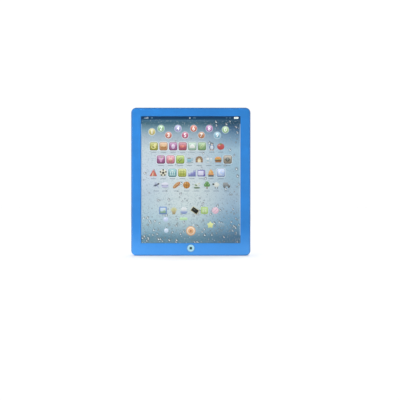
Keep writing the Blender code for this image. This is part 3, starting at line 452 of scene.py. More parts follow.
def circuit_board():
    """Solder mask over copper tracks, with the glass weave showing through."""
    shader = Shader("circuit_board", (30, 92, 52), 0.35)
    x, _, z = shader.axes()
    bend = shader.remap(shader.noise(0.11), 0.0, 1.0, -4 * MM, 4 * MM)
    lines = shader.maths("PINGPONG", shader.maths("ADD", x, bend), 1.1 * MM)
    tracks = shader.remap(lines, 0.35 * MM, 0.45 * MM, 0.0, 1.0)
    threads = [shader.maths("SINE", shader.maths("MULTIPLY", axis, 9000.0)) for axis in (x, z)]
    weave = shader.remap(shader.maths("MULTIPLY", *threads), -1.0, 1.0, 0.0, 0.14)
    mask = shader.mix(tracks, (42, 122, 70), (30, 92, 52))
    shader.set("Base Color", shader.mix(weave, mask, (12, 40, 24)))
    shader.bump(tracks, 0.012)
    return shader.material


def membrane_film():
    """Clear film printed with carbon tracks."""
    shader = Shader("clear_film", (214, 222, 222), 0.25)
    x, _, z = shader.axes()
    grid = [shader.maths("PINGPONG", axis, pitch * MM) for axis, pitch in ((x, 7.7), (z, 10.4))]
    track = shader.remap(shader.maths("MINIMUM", *grid), 0.5 * MM, 0.6 * MM, 1.0, 0.0)
    film = shader.mix(shader.noise(0.08), (206, 216, 216), (224, 230, 228))
    shader.set("Base Color", shader.mix(track, film, (58, 60, 62)))
    shader.vary_roughness(0.2, 0.32, 0.1)
    return shader.material


def cell_jacket():
    """A cell's printed jacket: a dark body, a copper-coloured band and bare steel ends."""
    shader = Shader("cell_jacket", (52, 110, 84), 0.3)
    from_middle = shader.maths("ABSOLUTE", shader.axes()[0])
    dark, copper, bare = (24, 30, 34), (196, 132, 74), (186, 188, 190)
    stops = [(0.0, dark), (0.5, dark), (0.51, copper), (0.9, copper), (0.93, bare)]
    bands = shader.ramp(shader.remap(from_middle, 0.0, 22.3 * MM, 0.0, 1.0), stops)
    scuffs = shader.remap(shader.noise(0.5, detail=5.0), 0.55, 0.8, 0.0, 0.25)
    shader.set("Base Color", shader.mix(scuffs, bands, (210, 206, 200)))
    shader.set("Metallic", shader.remap(from_middle, 20.4 * MM, 20.8 * MM, 0.2, 1.0))
    shader.vary_roughness(0.2, 0.38, 0.4)
    return shader.material


def paper_cone():
    """Pressed paper with short fibres."""
    shader = Shader("paper_cone", (44, 42, 40), 0.92)
    fibres = shader.noise((1.2, 1.2, 6.0), detail=6.0, roughness=0.7)
    shader.set("Base Color", shader.mix(fibres, (30, 28, 27), (70, 66, 60)))
    shader.bump(fibres, 0.06)
    return shader.material


def blue_plastic():
    """The case's satin blue: fine grain and faint flow marks, with painted light making it paler at the foot
    and painted shade making it greyer at the rim.
    """
    shader = Shader("blue_plastic", BLUE, 0.4)
    flow = shader.maths("MULTIPLY", shader.noise((0.012, 0.012, 0.03), detail=3.0), 0.6)
    cloud = shader.maths("MULTIPLY", shader.noise(0.06, detail=4.0), 0.4)
    shade = shader.remap(shader.maths("ADD", flow, cloud), 0.35, 0.65, 0.0, 1.0)
    blue = shader.mix(shade, [c * 0.965 for c in BLUE], [c * 1.03 for c in BLUE])
    x, _, z = shader.axes()
    # painted light: the blue is mixed paler towards the foot
    foot = shader.remap(z, 0.0, 50 * MM, 0.42, 0.0, smooth=True)
    blue = shader.mix(foot, blue, FOOT_PAINTED_LIGHT_BLUE)
    # painted shade: the blue is mixed greyer and darker near the case's outer edge
    half_height = (CASE_Z[1] - CASE_Z[0]) / 2
    height = shader.maths("SUBTRACT", z, (CASE_Z[0] + half_height) * MM)
    past_sides = [shader.maths("SUBTRACT", shader.maths("ABSOLUTE", place), edge * MM)
                  for place, edge in ((x, CASE_X[1]), (height, half_height))]
    rim = shader.remap(shader.maths("MAXIMUM", *past_sides), -3.0 * MM, -0.6 * MM, 0.0, 0.34)
    shader.set("Base Color", shader.mix(rim, blue, RIM_PAINTED_SHADE))
    shader.vary_roughness(0.38, 0.5, 0.15)
    coarse = shader.maths("MULTIPLY", shader.noise(0.9), 0.6)
    shader.bump(shader.maths("ADD", shader.noise(2.6), coarse), 0.02)
    shader.set("Specular IOR Level", 0.3)
    return shader.material


def button_plastic():
    """The button's pale cloudy plastic, bluer towards its rim."""
    shader = Shader("pale_plastic", (142, 188, 198), 0.26)
    stops = ((0.0, (120, 172, 180)), (0.45, (142, 188, 198)), (0.8, (152, 198, 212)),
             (0.92, (104, 154, 190)), (1.0, (66, 118, 172)))
    radius = shader.remap(shader.distance_from(BUTTON_X, BUTTON_Z), 0.0, 6.2 * MM, 0.0, 1.0)
    cloudy = shader.remap(shader.noise(0.5, detail=3.0), 0.3, 0.7, 0.0, 0.2)
    shader.set("Base Color", shader.mix(cloudy, shader.ramp(radius, stops), (190, 214, 220)))
    shader.vary_roughness(0.2, 0.32, 0.6)
    shader.bump(shader.noise(2.0), 0.006)
    shader.set("Coat Weight", 0.3)
    shader.set("Coat Roughness", 0.15)
    return shader.material


def picture_print():
    """The printed sheet: a wallpaper under a mist of tiny drops, the inks over it, and a clear hard coat."""
    shader = Shader("picture_print", (190, 208, 214), 0.3)
    x, _, z = shader.axes()
    height = shader.remap(z, WINDOW_Z[0] * MM, WINDOW_Z[1] * MM, 0.0, 1.0)
    turn = shader.remap(x, *[edge * MM for edge in WALLPAPER_TURN], 0.0, 1.0, smooth=True)
    paper = shader.mix(turn, shader.ramp(height, WALLPAPER_LEFT), shader.ramp(height, WALLPAPER_RIGHT))
    from_glow = shader.distance_from(-6.0, PANEL_Z - 24.0)
    glow = shader.remap(from_glow, 8 * MM, 76 * MM, 0.66, 0.0, smooth=True)
    paper = shader.mix(glow, paper, (214, 226, 224))
    wet = shader.remap(z, WINDOW_Z[0] * MM, (WINDOW_Z[0] + 80) * MM, 1.0, 0.5)
    flat = 0.001
    glint_shift = (0.07, 0.0, 0.13)
    for per_mm in (0.24, 0.4, 0.52):
        scale = (per_mm, flat, per_mm)
        shade = shader.remap(shader.cells(scale), 0.16, 0.34, 0.5, 0.0)
        glint = shader.remap(shader.cells(scale, glint_shift), 0.06, 0.2, 0.66, 0.0)
        for strength, colour in ((shade, (58, 92, 108)), (glint, (250, 255, 255))):
            paper = shader.mix(shader.maths("MULTIPLY", strength, wet), paper, colour)
    inks = shader.node("ShaderNodeVertexColor", layer_name=INK_LAYER)
    printed = shader.mix(inks.outputs["Alpha"], paper, inks.outputs["Color"])
    screen_dots = shader.remap(shader.noise(2.4), 0.35, 0.65, 0.0, 0.07)
    printed = shader.mix(screen_dots, printed, (140, 156, 162))
    shader.set("Base Color", shader.mix(FILM_SHADE, printed, (0, 0, 0)))
    shader.vary_roughness(0.3, 0.4, 0.1)
    shader.bump(shader.noise(0.035), 0.05)
    shader.set("Specular IOR Level", 0.12)
    shader.set("Coat Weight", 0.1)
    shader.set("Coat Roughness", 0.1)
    return shader.material


WIRE = {"grain": 5.0, "depth": 0.006, "mottle": 0.05}
# Plain plastics: colour, roughness, and what differs from the usual grain and mottle.
PLASTICS = {
    "button_mark": ((26, 58, 52), 0.35, {"mottle": 0.15}),
    "spacer_film": ((232, 228, 210), 0.5, {"grain": 1.0}),
    "grey_plastic": ((92, 96, 102), 0.55, {"grain": 1.4, "depth": 0.03}),
    "silicone": ((214, 214, 208), 0.7, {"grain": 0.8}),
    "epoxy": ((22, 22, 24), 0.22, {"grain": 0.3, "depth": 0.05, "mottle": 0.2}),
    "black_plastic": ((30, 30, 32), 0.48, {"grain": 2.4, "depth": 0.02, "mottle": 0.12}),
    "white_nylon": ((228, 224, 212), 0.5, {"grain": 1.2}),
    "capacitor_sleeve": ((34, 42, 84), 0.3, {"grain": 0.9, "mottle": 0.1}),
    "red_wire": ((190, 32, 30), 0.42, WIRE),
    "black_wire": ((28, 28, 30), 0.42, WIRE),
    "grey_wire": ((140, 142, 146), 0.42, WIRE),
}
# Metals: colour and roughness.
METALS = {
    "steel": ((176, 178, 182), 0.34),
    "nickel": ((200, 198, 188), 0.26),
    "magnet_plate": ((150, 152, 156), 0.4),
}


def make_materials():
    """A material for every slot in the record, and one for the mark on the button."""
    materials = {name: metal(name, *look) for name, look in METALS.items()}
    for name, (colour, roughness, look) in PLASTICS.items():
        materials[name] = plastic(name, colour, roughness, **look)
    materials["blue_plastic"] = blue_plastic()
    materials["picture_print"] = picture_print()
    materials["pale_plastic"] = button_plastic()
    materials["clear_film"] = membrane_film()
    materials["circuit_board"] = circuit_board()
    materials["paper_cone"] = paper_cone()
    materials["cell_jacket"] = cell_jacket()
    return materials


def dress_cad_nodes(materials):
    """Give every CAD node the finished material of its slot."""
    for subpart in frame["record"]["subparts"]:
        node = frame["nodes"][subpart["node"]]
        node.data.materials.clear()
        node.data.materials.append(materials[subpart["material_slot"]])


# ---------------------------------------------------------------- case

# Radii of the posts that hold a screw, and of the holes down them.
FRONT_POST, BACK_POST, PLATE_POST, KEY_BOARD_POST, SMALL_POST = 3.0, 3.9, 3.0, 2.4, 2.3
CASE_PILOT, CASE_CLEARANCE, SMALL_PILOT, DOOR_PILOT = 1.6, 1.7, 1.2, 2.1
PILOT_SEGMENTS = 20
TONGUE_END = PARTING + 1.3     # depth that the front's tongue reaches
INNER_BEVEL = 0.8              # bevel where a side wall meets the front or back wall inside
RIB = 1.2
ROOT = WALL * 0.75             # depth at which the front's posts and ribs start, inside its wall
BUTTON_HOLE = 6.5
GRILLE_PITCH = 5.0


def places(start):
    """The (x, z) of every CAD node whose name starts so."""
    named = sorted(name for name in frame["nodes"] if name.startswith(start))
    return [(middle(name)[0], middle(name)[2]) for name in named]


def front_shell(material):
    """The blue frame in one profile: side wall, rounded edge, face, window lip, rebate and tongue."""
    seam = PARTING - GAP / 2
    rebate = (grown(OVERLAY_X, GAP), grown(OVERLAY_Z, GAP), 2.0)
    lip_round = REBATE_DEPTH - 0.1
    rings = [case_ring(SEAM_ROUND * g, seam - SEAM_ROUND * down) for g, down in reversed(quarter(3))]
    rings += [case_ring(FRONT_ROUND * g, FRONT_ROUND * down) for g, down in quarter(10)]
    rings += [window_ring(lip_round * g, lip_round * down) for g, down in reversed(quarter(6))]
    rings += [
        window_ring(0, REBATE_DEPTH),
        corner_ring(*rebate, REBATE_DEPTH),
        corner_ring(*rebate, WALL),
        case_ring(WALL + INNER_BEVEL, WALL),
        case_ring(WALL, WALL + INNER_BEVEL),
        case_ring(WALL, TONGUE_END),
        case_ring(WALL - LIP, TONGUE_END),
        case_ring(WALL - LIP, seam),
    ]
    fixings, holes = bmesh.new(), bmesh.new()
    for x, z in places("case_screw"):
        add_cylinder(fixings, x, z, (ROOT, seam), FRONT_POST)
        add_cylinder(holes, x, z, (6.8, PARTING + OUT), CASE_PILOT, PILOT_SEGMENTS)
    for x, z in places("key_board_screw"):
        add_cylinder(fixings, x, z, (ROOT, extents("key_board")[1][0] - GAP), KEY_BOARD_POST)
        add_cylinder(holes, x, z, (3.6, 9.0), SMALL_PILOT, PILOT_SEGMENTS)
    plate_x, plate_depth, _ = extents("backplate")
    for rib_x in ((plate_x[0], plate_x[0] + RIB), (plate_x[1] - RIB, plate_x[1])):
        for rib_z in ((30.0, 100.0), (135.0, 215.0)):
            add_box(fixings, rib_x, (ROOT, plate_depth[0] - GAP), rib_z)
    add_flared_hole(holes, BUTTON_X, BUTTON_Z, BUTTON_HOLE, WALL + OUT, 0.0, 0.5, 64)
    bm = worked(drawn(add_loft, rings, closed=True), ("UNION", fixings), ("DIFFERENCE", holes))
    piece("frame_front", bm, material, "case", ["front_shell"])


def back_blank():
    """The back before it is cut: outer wall and rounded edge, parting face, groove and inner wall."""
    seam = PARTING + GAP / 2
    groove = WALL - LIP - GAP
    rings = [case_ring(BACK_ROUND * g, BACK - BACK_ROUND * down) for g, down in reversed(quarter(10))]
    rings += [case_ring(SEAM_ROUND * g, seam + SEAM_ROUND * down) for g, down in quarter(3)]
    rings += [
        case_ring(groove, seam),
        case_ring(groove, TONGUE_END + GAP),
        case_ring(WALL, TONGUE_END + GAP),
        case_ring(WALL, BACK_WALL - INNER_BEVEL),
        case_ring(WALL + INNER_BEVEL, BACK_WALL),
    ]
    return drawn(add_loft, rings)


def back_fixings():
    """The solids that stand on the back wall: door ledge, screw post, bosses, posts and speaker rib."""
    ledge, post, bosses = bmesh.new(), bmesh.new(), bmesh.new()
    root = BACK_WALL + 0.5
    add_box(ledge, grown(DOOR_X, GAP + 1.5), (LEDGE_DEPTH - 1.2, root), grown(DOOR_Z, GAP + 1.5))
    add_box(post, span(10.0), (10.5, root + 0.2), (BAY_Z[1] + 0.6, DOOR_Z[1] - 0.2))
    for x, z in places("case_screw"):
        add_cylinder(bosses, x, z, (PARTING + GAP / 2, root), BACK_POST)
    for x in (-70.0, 70.0):
        for z in (40.0, 215.0):
            add_cylinder(bosses, x, z, (extents("backplate")[1][1] - 1.6, root), PLATE_POST)
    for screw, top in (("clamp_screw", 16.9), ("switch_screw", 13.9)):
        for x, z in places(screw):
            add_cylinder(bosses, x, z, (top, root), SMALL_POST)
    rib = [(18.4, 16.9), (19.6, 16.9), (19.6, root), (18.4, root)]
    add_loft(bosses, [turned_ring(GRILLE_X, GRILLE_Z, radius, depth) for radius, depth in rib], closed=True)
    return ledge, post, bosses


def grille_places():
    """The speaker's holes: one in the middle, then rings of six more each."""
    yield GRILLE_X, GRILLE_Z
    for ring in (1, 2):
        for step in range(6 * ring):
            turn = 2 * math.pi * step / (6 * ring)
            reach = GRILLE_PITCH * ring
            yield GRILLE_X + reach * math.cos(turn), GRILLE_Z + reach * math.sin(turn)


def back_openings():
    """The cutters of everything sunk into the back."""
    bay, recess, wells, holes = bmesh.new(), bmesh.new(), bmesh.new(), bmesh.new()
    add_box(bay, BAY_X, (BAY_FLOOR[1], BACK + OUT), BAY_Z)
    add_flared_opening(recess, grown(DOOR_X, GAP), grown(DOOR_Z, GAP), 2.3, LEDGE_DEPTH, BACK, 0.35)
    for side in (-1, 1):
        toe_z = (DOOR_BOX_Z[0] - 0.6, BAY_Z[0] + 0.1)
        add_box(wells, span(TAB_WIDTH + 1.0, side * TAB_X), (15.8, BACK_WALL - 0.05), toe_z)
    add_cylinder(wells, DOOR_SCREW_X, DOOR_SCREW_Z, (15.7, BACK_WALL), 4.3)
    for x, z in places("case_screw"):
        add_flared_hole(wells, x, z, 2.9, 15.0, BACK, 0.5)
        add_cylinder(holes, x, z, (PARTING - 1, 15.5), CASE_CLEARANCE, PILOT_SEGMENTS)
    for x, z in grille_places():
        add_flared_hole(wells, x, z, 1.1, BACK_WALL - 0.5, BACK, 0.4, 20)
    add_flared_opening(wells, span(18.0, SWITCH_X), span(9.0, SWITCH_Z), 1.6, BACK - 0.8, BACK, 0.35)
    add_box(holes, span(9.8, SWITCH_X), (BACK_WALL - 0.5, BACK), span(4.8, SWITCH_Z))
    add_cylinder(holes, DOOR_SCREW_X, DOOR_SCREW_Z, (11.3, 16.0), DOOR_PILOT, PILOT_SEGMENTS)
    for screw, reach in (("clamp_screw", (15.6, BACK - 1.0)), ("switch_screw", (12.8, BACK_WALL - 0.2))):
        for x, z in places(screw):
            add_cylinder(holes, x, z, reach, SMALL_PILOT, PILOT_SEGMENTS)
    for side, cell in ((-1, "battery_cell_3"), (1, "battery_cell_1")):
        wire = sorted((side * (BAY_X[1] - 0.5), side * (BAY_X[1] + 1.7)))
        add_box(holes, wire, span(2.2, 9.5), span(2.2, middle(cell)[2]))
    return bay, recess, wells, holes


def back_marks():
    """Shallow moulded lines: a border round the back, a blank rating panel, and on and off marks."""
    border, panel, marks = bmesh.new(), bmesh.new(), bmesh.new()
    section = ((9.0, BACK + OUT), (9.0, BACK), (9.3, BACK - 0.3),
               (9.9, BACK - 0.3), (10.2, BACK), (10.2, BACK + OUT))
    rings = [corner_ring(grown(CASE_X, -inset), grown(CASE_Z, -inset), 6.0, d) for inset, d in section]
    add_loft(border, rings, closed=True)
    add_flared_opening(panel, span(46.0, 0.0), span(22.0, 132.0), 2.0, BACK - 0.25, BACK, 0.15)
    on_x, off_x = SWITCH_X + 14.0, SWITCH_X - 14.0
    add_flared_opening(marks, span(0.8, on_x), span(4.4, SWITCH_Z), 0.3, BACK - 0.35, BACK, 0.1)
    off = ((1.5, BACK + OUT), (1.5, BACK - 0.35), (2.3, BACK - 0.35), (2.3, BACK + OUT))
    add_loft(marks, [turned_ring(off_x, SWITCH_Z, radius, depth) for radius, depth in off], closed=True)
    return border, panel, marks


def rear_shell(material):
    bay = drawn(add_box, grown(BAY_X, BAY_WALL), (BAY_FLOOR[0], BACK_WALL + 0.5), grown(BAY_Z, BAY_WALL))
    steps = [("UNION", solid) for solid in (bay, *back_fixings())]
    steps += [("DIFFERENCE", cutter) for cutter in (*back_openings(), *back_marks())]
    piece("frame_back", worked(back_blank(), *steps), material, "case", ["rear_shell"])


def battery_door(material):
    """The door: a plate with soft edges, a screw boss, two tabs, grip grooves and an arrow."""
    roots, toes, cuts, hole = bmesh.new(), bmesh.new(), bmesh.new(), bmesh.new()
    for side in (-1, 1):
        add_box(roots, span(TAB_WIDTH, side * TAB_X), (16.5, DOOR_PLATE[0] + 0.5), (DOOR_Z[0], BAY_Z[0]))
        toe_z = (DOOR_BOX_Z[0], BAY_Z[0] - 0.2)
        add_box(toes, span(TAB_WIDTH - 0.4, side * TAB_X), (16.5, 17.7), toe_z)
    add_cylinder(roots, DOOR_SCREW_X, DOOR_SCREW_Z, (16.0, DOOR_PLATE[0] + 0.5), 3.4, 36)
    add_flared_hole(cuts, DOOR_SCREW_X, DOOR_SCREW_Z, 2.7, 17.5, DOOR_PLATE[1], 0.3)
    face = DOOR_PLATE[1]
    for groove in range(5):
        groove_x = span(20.0 - 1.6 * groove)
        groove_z = span(0.8, DOOR_Z[1] - 13.0 - 2.2 * groove)
        add_flared_opening(cuts, groove_x, groove_z, 0.35, face - 0.5, face, 0.25)
    tip = DOOR_Z[0] + 14.0
    half_arrow = [(5.0, tip + 5.0), (1.6, tip + 5.0), (1.6, tip + 9.5)]
    arrow = [(0.0, tip), *half_arrow, *[(-x, z) for x, z in reversed(half_arrow)]]
    add_loft(cuts, [[(x, depth, z) for x, z in arrow] for depth in (face - 0.3, face + OUT)])
    add_cylinder(hole, DOOR_SCREW_X, DOOR_SCREW_Z, (15.0, 17.8), 1.6, 20)
    plate = drawn(add_slab, DOOR_X, DOOR_PLATE, DOOR_Z, 2.0, 0.35)
    bm = worked(plate, ("UNION", roots), ("UNION", toes), ("DIFFERENCE", cuts), ("DIFFERENCE", hole))
    piece("battery_door_plate", bm, material, "battery_door", ["battery_door"])


def switch_knob(material):
    """The sliding knob: a ridged grip with soft edges, a flange behind the slot, and a yoke."""
    x = sum(KNOB_X) / 2
    grip, yoke, cuts = bmesh.new(), bmesh.new(), bmesh.new()
    add_slab(grip, span(5.5, x), (17.0, BACK - 0.2), span(4.2, SWITCH_Z), 0.6, 0.3)
    add_box(yoke, span(4.4, x), (KNOB_DEPTH[0], 17.2), span(3.6, SWITCH_Z))
    add_box(cuts, span(2.2, x), (14.0, 16.3), span(2.2, SWITCH_Z))
    for groove in (-1.5, -0.5, 0.5, 1.5):
        groove_x = span(0.4, x + 1.1 * groove)
        add_flared_opening(cuts, groove_x, span(5.0, SWITCH_Z), 0.15, BACK - 0.75, BACK - 0.2, 0.12)
    flange = drawn(add_slab, KNOB_X, (16.6, BACK_WALL - GAP), KNOB_FLANGE_Z, 1.0, 0.2)
    bm = worked(flange, ("UNION", grip), ("UNION", yoke), ("DIFFERENCE", cuts))
    piece("switch_slider", bm, material, "power_switch", ["switch_knob"])


def home_button(plastic_material, mark_material):
    """The round button: a rolled rim, a fine ring and a dished middle that holds a dark mark."""
    rim_round, dish_radius, dish_top = 0.45, 4.95, 0.32
    rim = [(6.2 - rim_round * g, 0.3 + rim_round * down) for g, down in quarter()]
    profile = [(0, 5.0), (2.0, 5.0), (2.0, 3.3), (7.3, 3.3), (7.3, 2.3), (6.2, 2.3), *rim]
    profile += [(5.45, 0.3), (5.3, 0.5), (5.1, 0.5), (dish_radius, dish_top)]
    shares = [step / 10 for step in range(1, 11)]
    dish = [(dish_radius * (1 - s), dish_top + 0.4 * math.sin(s * math.pi / 2)) for s in shares]
    bm = drawn(add_turned, BUTTON_X, BUTTON_Z, [*profile, *dish], 72)
    piece("home_button_cap", bm, plastic_material, "home_button", ["home_button"])
    mark_size = 4.1
    mark = drawn(add_slab, span(mark_size, BUTTON_X), (0.52, 1.1), span(mark_size, BUTTON_Z), 1.0, 0.12)
    piece("home_button_mark", mark, mark_material, "home_button")


def button_dome(material):
    """The rubber dome behind the button, drawn at rest; on the toy it gives way as the button comes in."""
    foot_depth = 7.2
    inside = [(0, 5.9), (1.6, 5.9), (1.9, 6.1), (2.3, 6.6), (3.1, 7.0), (3.9, foot_depth)]
    outside = [(4.6, foot_depth), (4.6, 6.8), (4.45, 6.65), (3.4, 6.4), (2.8, 6.0), (2.45, 5.6),
               (2.2, 5.38), (2.0, 5.3), (0, 5.3)]
    bm = drawn(add_turned, BUTTON_X, BUTTON_Z, inside + outside)
    dome = piece("return_dome", bm, material, "case", ["button_dome"])
    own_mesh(dome)


# ---------------------------------------------------------------- printed picture

GLINT = (300, 304, 304)            # stronger than any ink, so that it is still white under the film
SLIVER = 1e-4                      # a shape below this area in square millimetres isn't printed
NO_INK = 1e-6                      # an opacity below this shows nothing
SAME_POINT = 1e-4                  # corners nearer than this become one


def read_ramp(stops, share):
    """The colour at a share along a list of stops."""
    for (start, one), (end, two) in zip(stops, stops[1:]):
        if share <= end:
            along = max(0.0, (share - start) / (end - start))
            return [a + (b - a) * along for a, b in zip(one, two)]
    return list(stops[-1][1])


def wallpaper_at(x, z):
    """The wallpaper's colour at a point measured from the panel's centre."""
    height = 0.5 + z / PANEL_HEIGHT
    start, end = WALLPAPER_TURN
    turn = min(1.0, max(0.0, (x - start) / (end - start)))
    turn = turn * turn * (3 - 2 * turn)
    left, right = read_ramp(WALLPAPER_LEFT, height), read_ramp(WALLPAPER_RIGHT, height)
    return [a + (b - a) * turn for a, b in zip(left, right)]


def toned(colour, amount):
    """A colour taken towards white by a positive share, or towards black by a negative one."""
    goal = 255 if amount > 0 else 0
    return tuple(c + (goal - c) * abs(amount) for c in colour)


def signed_area(points):
    """An outline's area, which is negative where it runs clockwise."""
    sides = zip(points, points[1:] + points[:1])
    return sum(x0 * z1 - x1 * z0 for (x0, z0), (x1, z1) in sides) / 2


def polar(degrees, radius, rise=None):
    """The point at an angle on a circle about the origin, or on an ellipse of another height."""
    angle = math.radians(degrees)
    return radius * math.cos(angle), (radius if rise is None else rise) * math.sin(angle)


def tilted(points, u, v, degrees):
    """Points turned about the origin, then moved."""
    cosine, sine = polar(degrees, 1.0)
    return [(u + a * cosine - b * sine, v + a * sine + b * cosine) for a, b in points]


def over(top, under):
    """One (red, green, blue, opacity) ink laid over another."""
    opacity = top[3] + under[3] * (1 - top[3])
    if opacity < NO_INK:
        return (*top[:3], 0.0)
    mixed = [(t * top[3] + u * under[3] * (1 - top[3])) / opacity for t, u in zip(top[:3], under[:3])]
    return (*mixed, opacity)


class Inks:
    """Shapes printed one over another, each in an ink that fades from its foot to its head."""

    def __init__(self):
        self.shapes = []

    def add(self, points, foot, head, foot_opacity=1.0, head_opacity=None):
        area = signed_area(points)
        if abs(area) < SLIVER:
            return
        heights = [z for _, z in points]
        head_opacity = foot_opacity if head_opacity is None else head_opacity
        fade = ((*foot, foot_opacity), (*head, head_opacity), min(heights), max(heights))
        self.shapes.append((points if area > 0 else points[::-1], fade))

    def colour_at(self, owners, z):
        """The ink that shows at a height where these shapes lie over each other."""
        shown = (0.0, 0.0, 0.0, 0.0)
        for owner in owners:
            foot, head, low, high = self.shapes[owner][1]
            share = min(1.0, max(0.0, (z - low) / (high - low)))
            shown = over([a + (b - a) * share for a, b in zip(foot, head)], shown)
        return shown

    def sheet(self, outline, depth):
        """A closed sheet whose front is divided along every shape's edge and coloured by its inks."""
        coords, faces = [Vector(point) for point in outline], [list(range(len(outline)))]
        for points, _ in self.shapes:
            faces.append(list(range(len(coords), len(coords) + len(points))))
            coords += [Vector((x, z + PANEL_Z)) for x, z in points]
        points, _, triangles, _, _, owners = delaunay_2d_cdt(coords, [], faces, 1, SAME_POINT)
        bm = bmesh.new()
        layer = bm.loops.layers.float_color.new(INK_LAYER)
        verts = [bm.verts.new((point.x, depth[0], point.y)) for point in points]
        for triangle, found in zip(triangles, owners):
            face = bm.faces.new([verts[i] for i in triangle])
            covering = sorted(owner - 1 for owner in found if owner > 0)
            for loop in face.loops:
                *colour, opacity = self.colour_at(covering, loop.vert.co.z - PANEL_Z)
                loop[layer] = (*linear(colour)[:3], opacity)
        close_sheet(bm, depth)
        return bm


def close_sheet(bm, depth):
    """Give a flat front its sides and its back."""
    rim = [edge for edge in bm.edges if edge.is_boundary]
    made = bmesh.ops.extrude_edge_only(bm, edges=rim)["geom"]
    moved = [item for item in made if isinstance(item, bmesh.types.BMVert)]
    bmesh.ops.translate(bm, vec=(0, depth[1] - depth[0], 0), verts=moved)
    bmesh.ops.holes_fill(bm, edges=[edge for edge in bm.edges if edge.is_boundary], sides=0)
    bmesh.ops.delete(bm, geom=[vert for vert in bm.verts if not vert.link_faces], context="VERTS")
    bmesh.ops.recalc_face_normals(bm, faces=bm.faces)


class Pen:
    """Draws one small picture about its own centre, in units of half its size."""

    def __init__(self, inks, x, z, size):
        self.inks, self.x, self.z, self.unit = inks, x, z, size / 2

    def shape(self, points, colour, fade=0.14, opacity=1.0, head_opacity=None):
        """A closed outline in one colour, darker at its foot and lighter at its head."""
        placed = [(self.x + u * self.unit, self.z + v * self.unit) for u, v in points]
        self.inks.add(placed, toned(colour, -fade), toned(colour, fade), opacity, head_opacity)

    def oval(self, u, v, across, up=None, colour=(255, 255, 255), turn=0, part=(0, 360), steps=18, **ink):
        """An ellipse, or the part of one between two angles, turned by an angle in degrees."""
        start, sweep = part[0], part[1] - part[0]
        count = steps if sweep == 360 else steps + 1
        points = [polar(start + sweep * step / steps, across, up) for step in range(count)]
        self.shape(tilted(points, u, v, turn), colour, **ink)

    def block(self, u, v, width, height, colour, corner=0.08, turn=0, **ink):
        """A rounded rectangle about its centre."""
        ring = corner_ring(span(width), span(height), corner, 0, steps=3)
        self.shape(tilted([(a, b) for a, _, b in ring], u, v, turn), colour, **ink)

    def stroke(self, points, width, colour, **ink):
        """A line of some width through points, with round joints."""
        ink.setdefault("fade", 0)
        for (u0, v0), (u1, v1) in zip(points, points[1:]):
            length = math.hypot(u1 - u0, v1 - v0)
            a, b = (v0 - v1) / length * width / 2, (u1 - u0) / length * width / 2
            corners = [(u0 + a, v0 + b), (u0 - a, v0 - b), (u1 - a, v1 - b), (u1 + a, v1 + b)]
            self.shape(corners, colour, **ink)
        for u, v in points:
            self.oval(u, v, width / 2, colour=colour, steps=8, **ink)

    def dots(self, places, radius, colour, **ink):
        for u, v in places:
            self.oval(u, v, radius, colour=colour, steps=12, **ink)

    def tile(self, colour):
        """A glossy rounded key with a pale halo and a dark rim."""
        self.block(0, 0, 2.26, 2.26, GLINT, 0.46, fade=0, opacity=0.26)
        self.block(0, 0, 2.02, 2.02, toned(colour, -0.3), 0.4)
        self.block(0, 0.03, 1.76, 1.72, colour, 0.3, fade=0.16)

    def gloss(self):
        """The bright band across a key's upper half."""
        arc = [(0.9 - 0.18 * i, 0.12 - 0.16 * math.sin(math.pi * i / 10)) for i in range(11)]
        top = [(-0.9, 0.7), (-0.8, 0.86), (-0.6, 0.92), (0.6, 0.92), (0.8, 0.86), (0.9, 0.7)]
        self.shape(arc + top, GLINT, fade=0, opacity=0.04, head_opacity=0.3)

    def caption(self):
        """A grey bar that stands for a key's caption."""
        self.block(0, -1.42, 1.3, 0.16, (84, 98, 106), 0.07, fade=0, opacity=0.6)


# ---------------------------------------------------------------- the little pictures

WHITE = (244, 246, 242)
CREAM = (236, 226, 190)
INK_BLACK = (38, 42, 44)
GOLD = (222, 176, 92)
LEAF = (112, 150, 74)
SLATE = (84, 96, 116)


def duckling(pen):
    pen.oval(-0.05, -0.22, 0.58, 0.4, (236, 230, 150))
    pen.oval(0.34, 0.34, 0.28, colour=(240, 234, 156))
    pen.shape([(0.58, 0.4), (0.86, 0.28), (0.58, 0.2)], (226, 150, 70))
    pen.oval(-0.16, -0.16, 0.32, 0.18, (116, 116, 52), turn=-14)
    pen.dots([(0.4, 0.42)], 0.05, INK_BLACK)


def loaf(pen):
    pen.block(0, -0.2, 1.3, 0.66, (176, 118, 70), 0.2)
    pen.oval(0, 0.1, 0.7, 0.38, (216, 164, 108))
    for u in (-0.34, 0, 0.34):
        pen.stroke([(u - 0.08, -0.02), (u + 0.08, 0.28)], 0.09, CREAM)


def egg(pen):
    pen.oval(0, -0.04, 0.44, 0.58, (222, 202, 230))
    pen.oval(-0.14, 0.16, 0.13, 0.2, WHITE, turn=-20, opacity=0.8)
    pen.dots([(0.14, -0.2), (-0.16, -0.3), (0.2, 0.12)], 0.07, (176, 142, 192))


def fish(pen):
    pen.shape([(0.3, 0), (0.8, 0.36), (0.66, 0), (0.8, -0.36)], (222, 110, 96))
    pen.oval(-0.12, 0, 0.54, 0.34, (232, 128, 112))
    pen.shape([(-0.2, 0.28), (0.1, 0.56), (0.16, 0.26)], (206, 92, 84))
    pen.stroke([(0.06, 0.24), (0.12, 0), (0.06, -0.24)], 0.06, (248, 200, 180))
    pen.dots([(-0.4, 0.08)], 0.07, INK_BLACK)


def cloud(pen):
    pen.block(0, -0.24, 1.3, 0.36, WHITE, 0.17)
    for u, v, radius in ((-0.34, -0.04, 0.3), (0.04, 0.14, 0.38), (0.4, -0.06, 0.27)):
        pen.oval(u, v, radius, colour=WHITE)


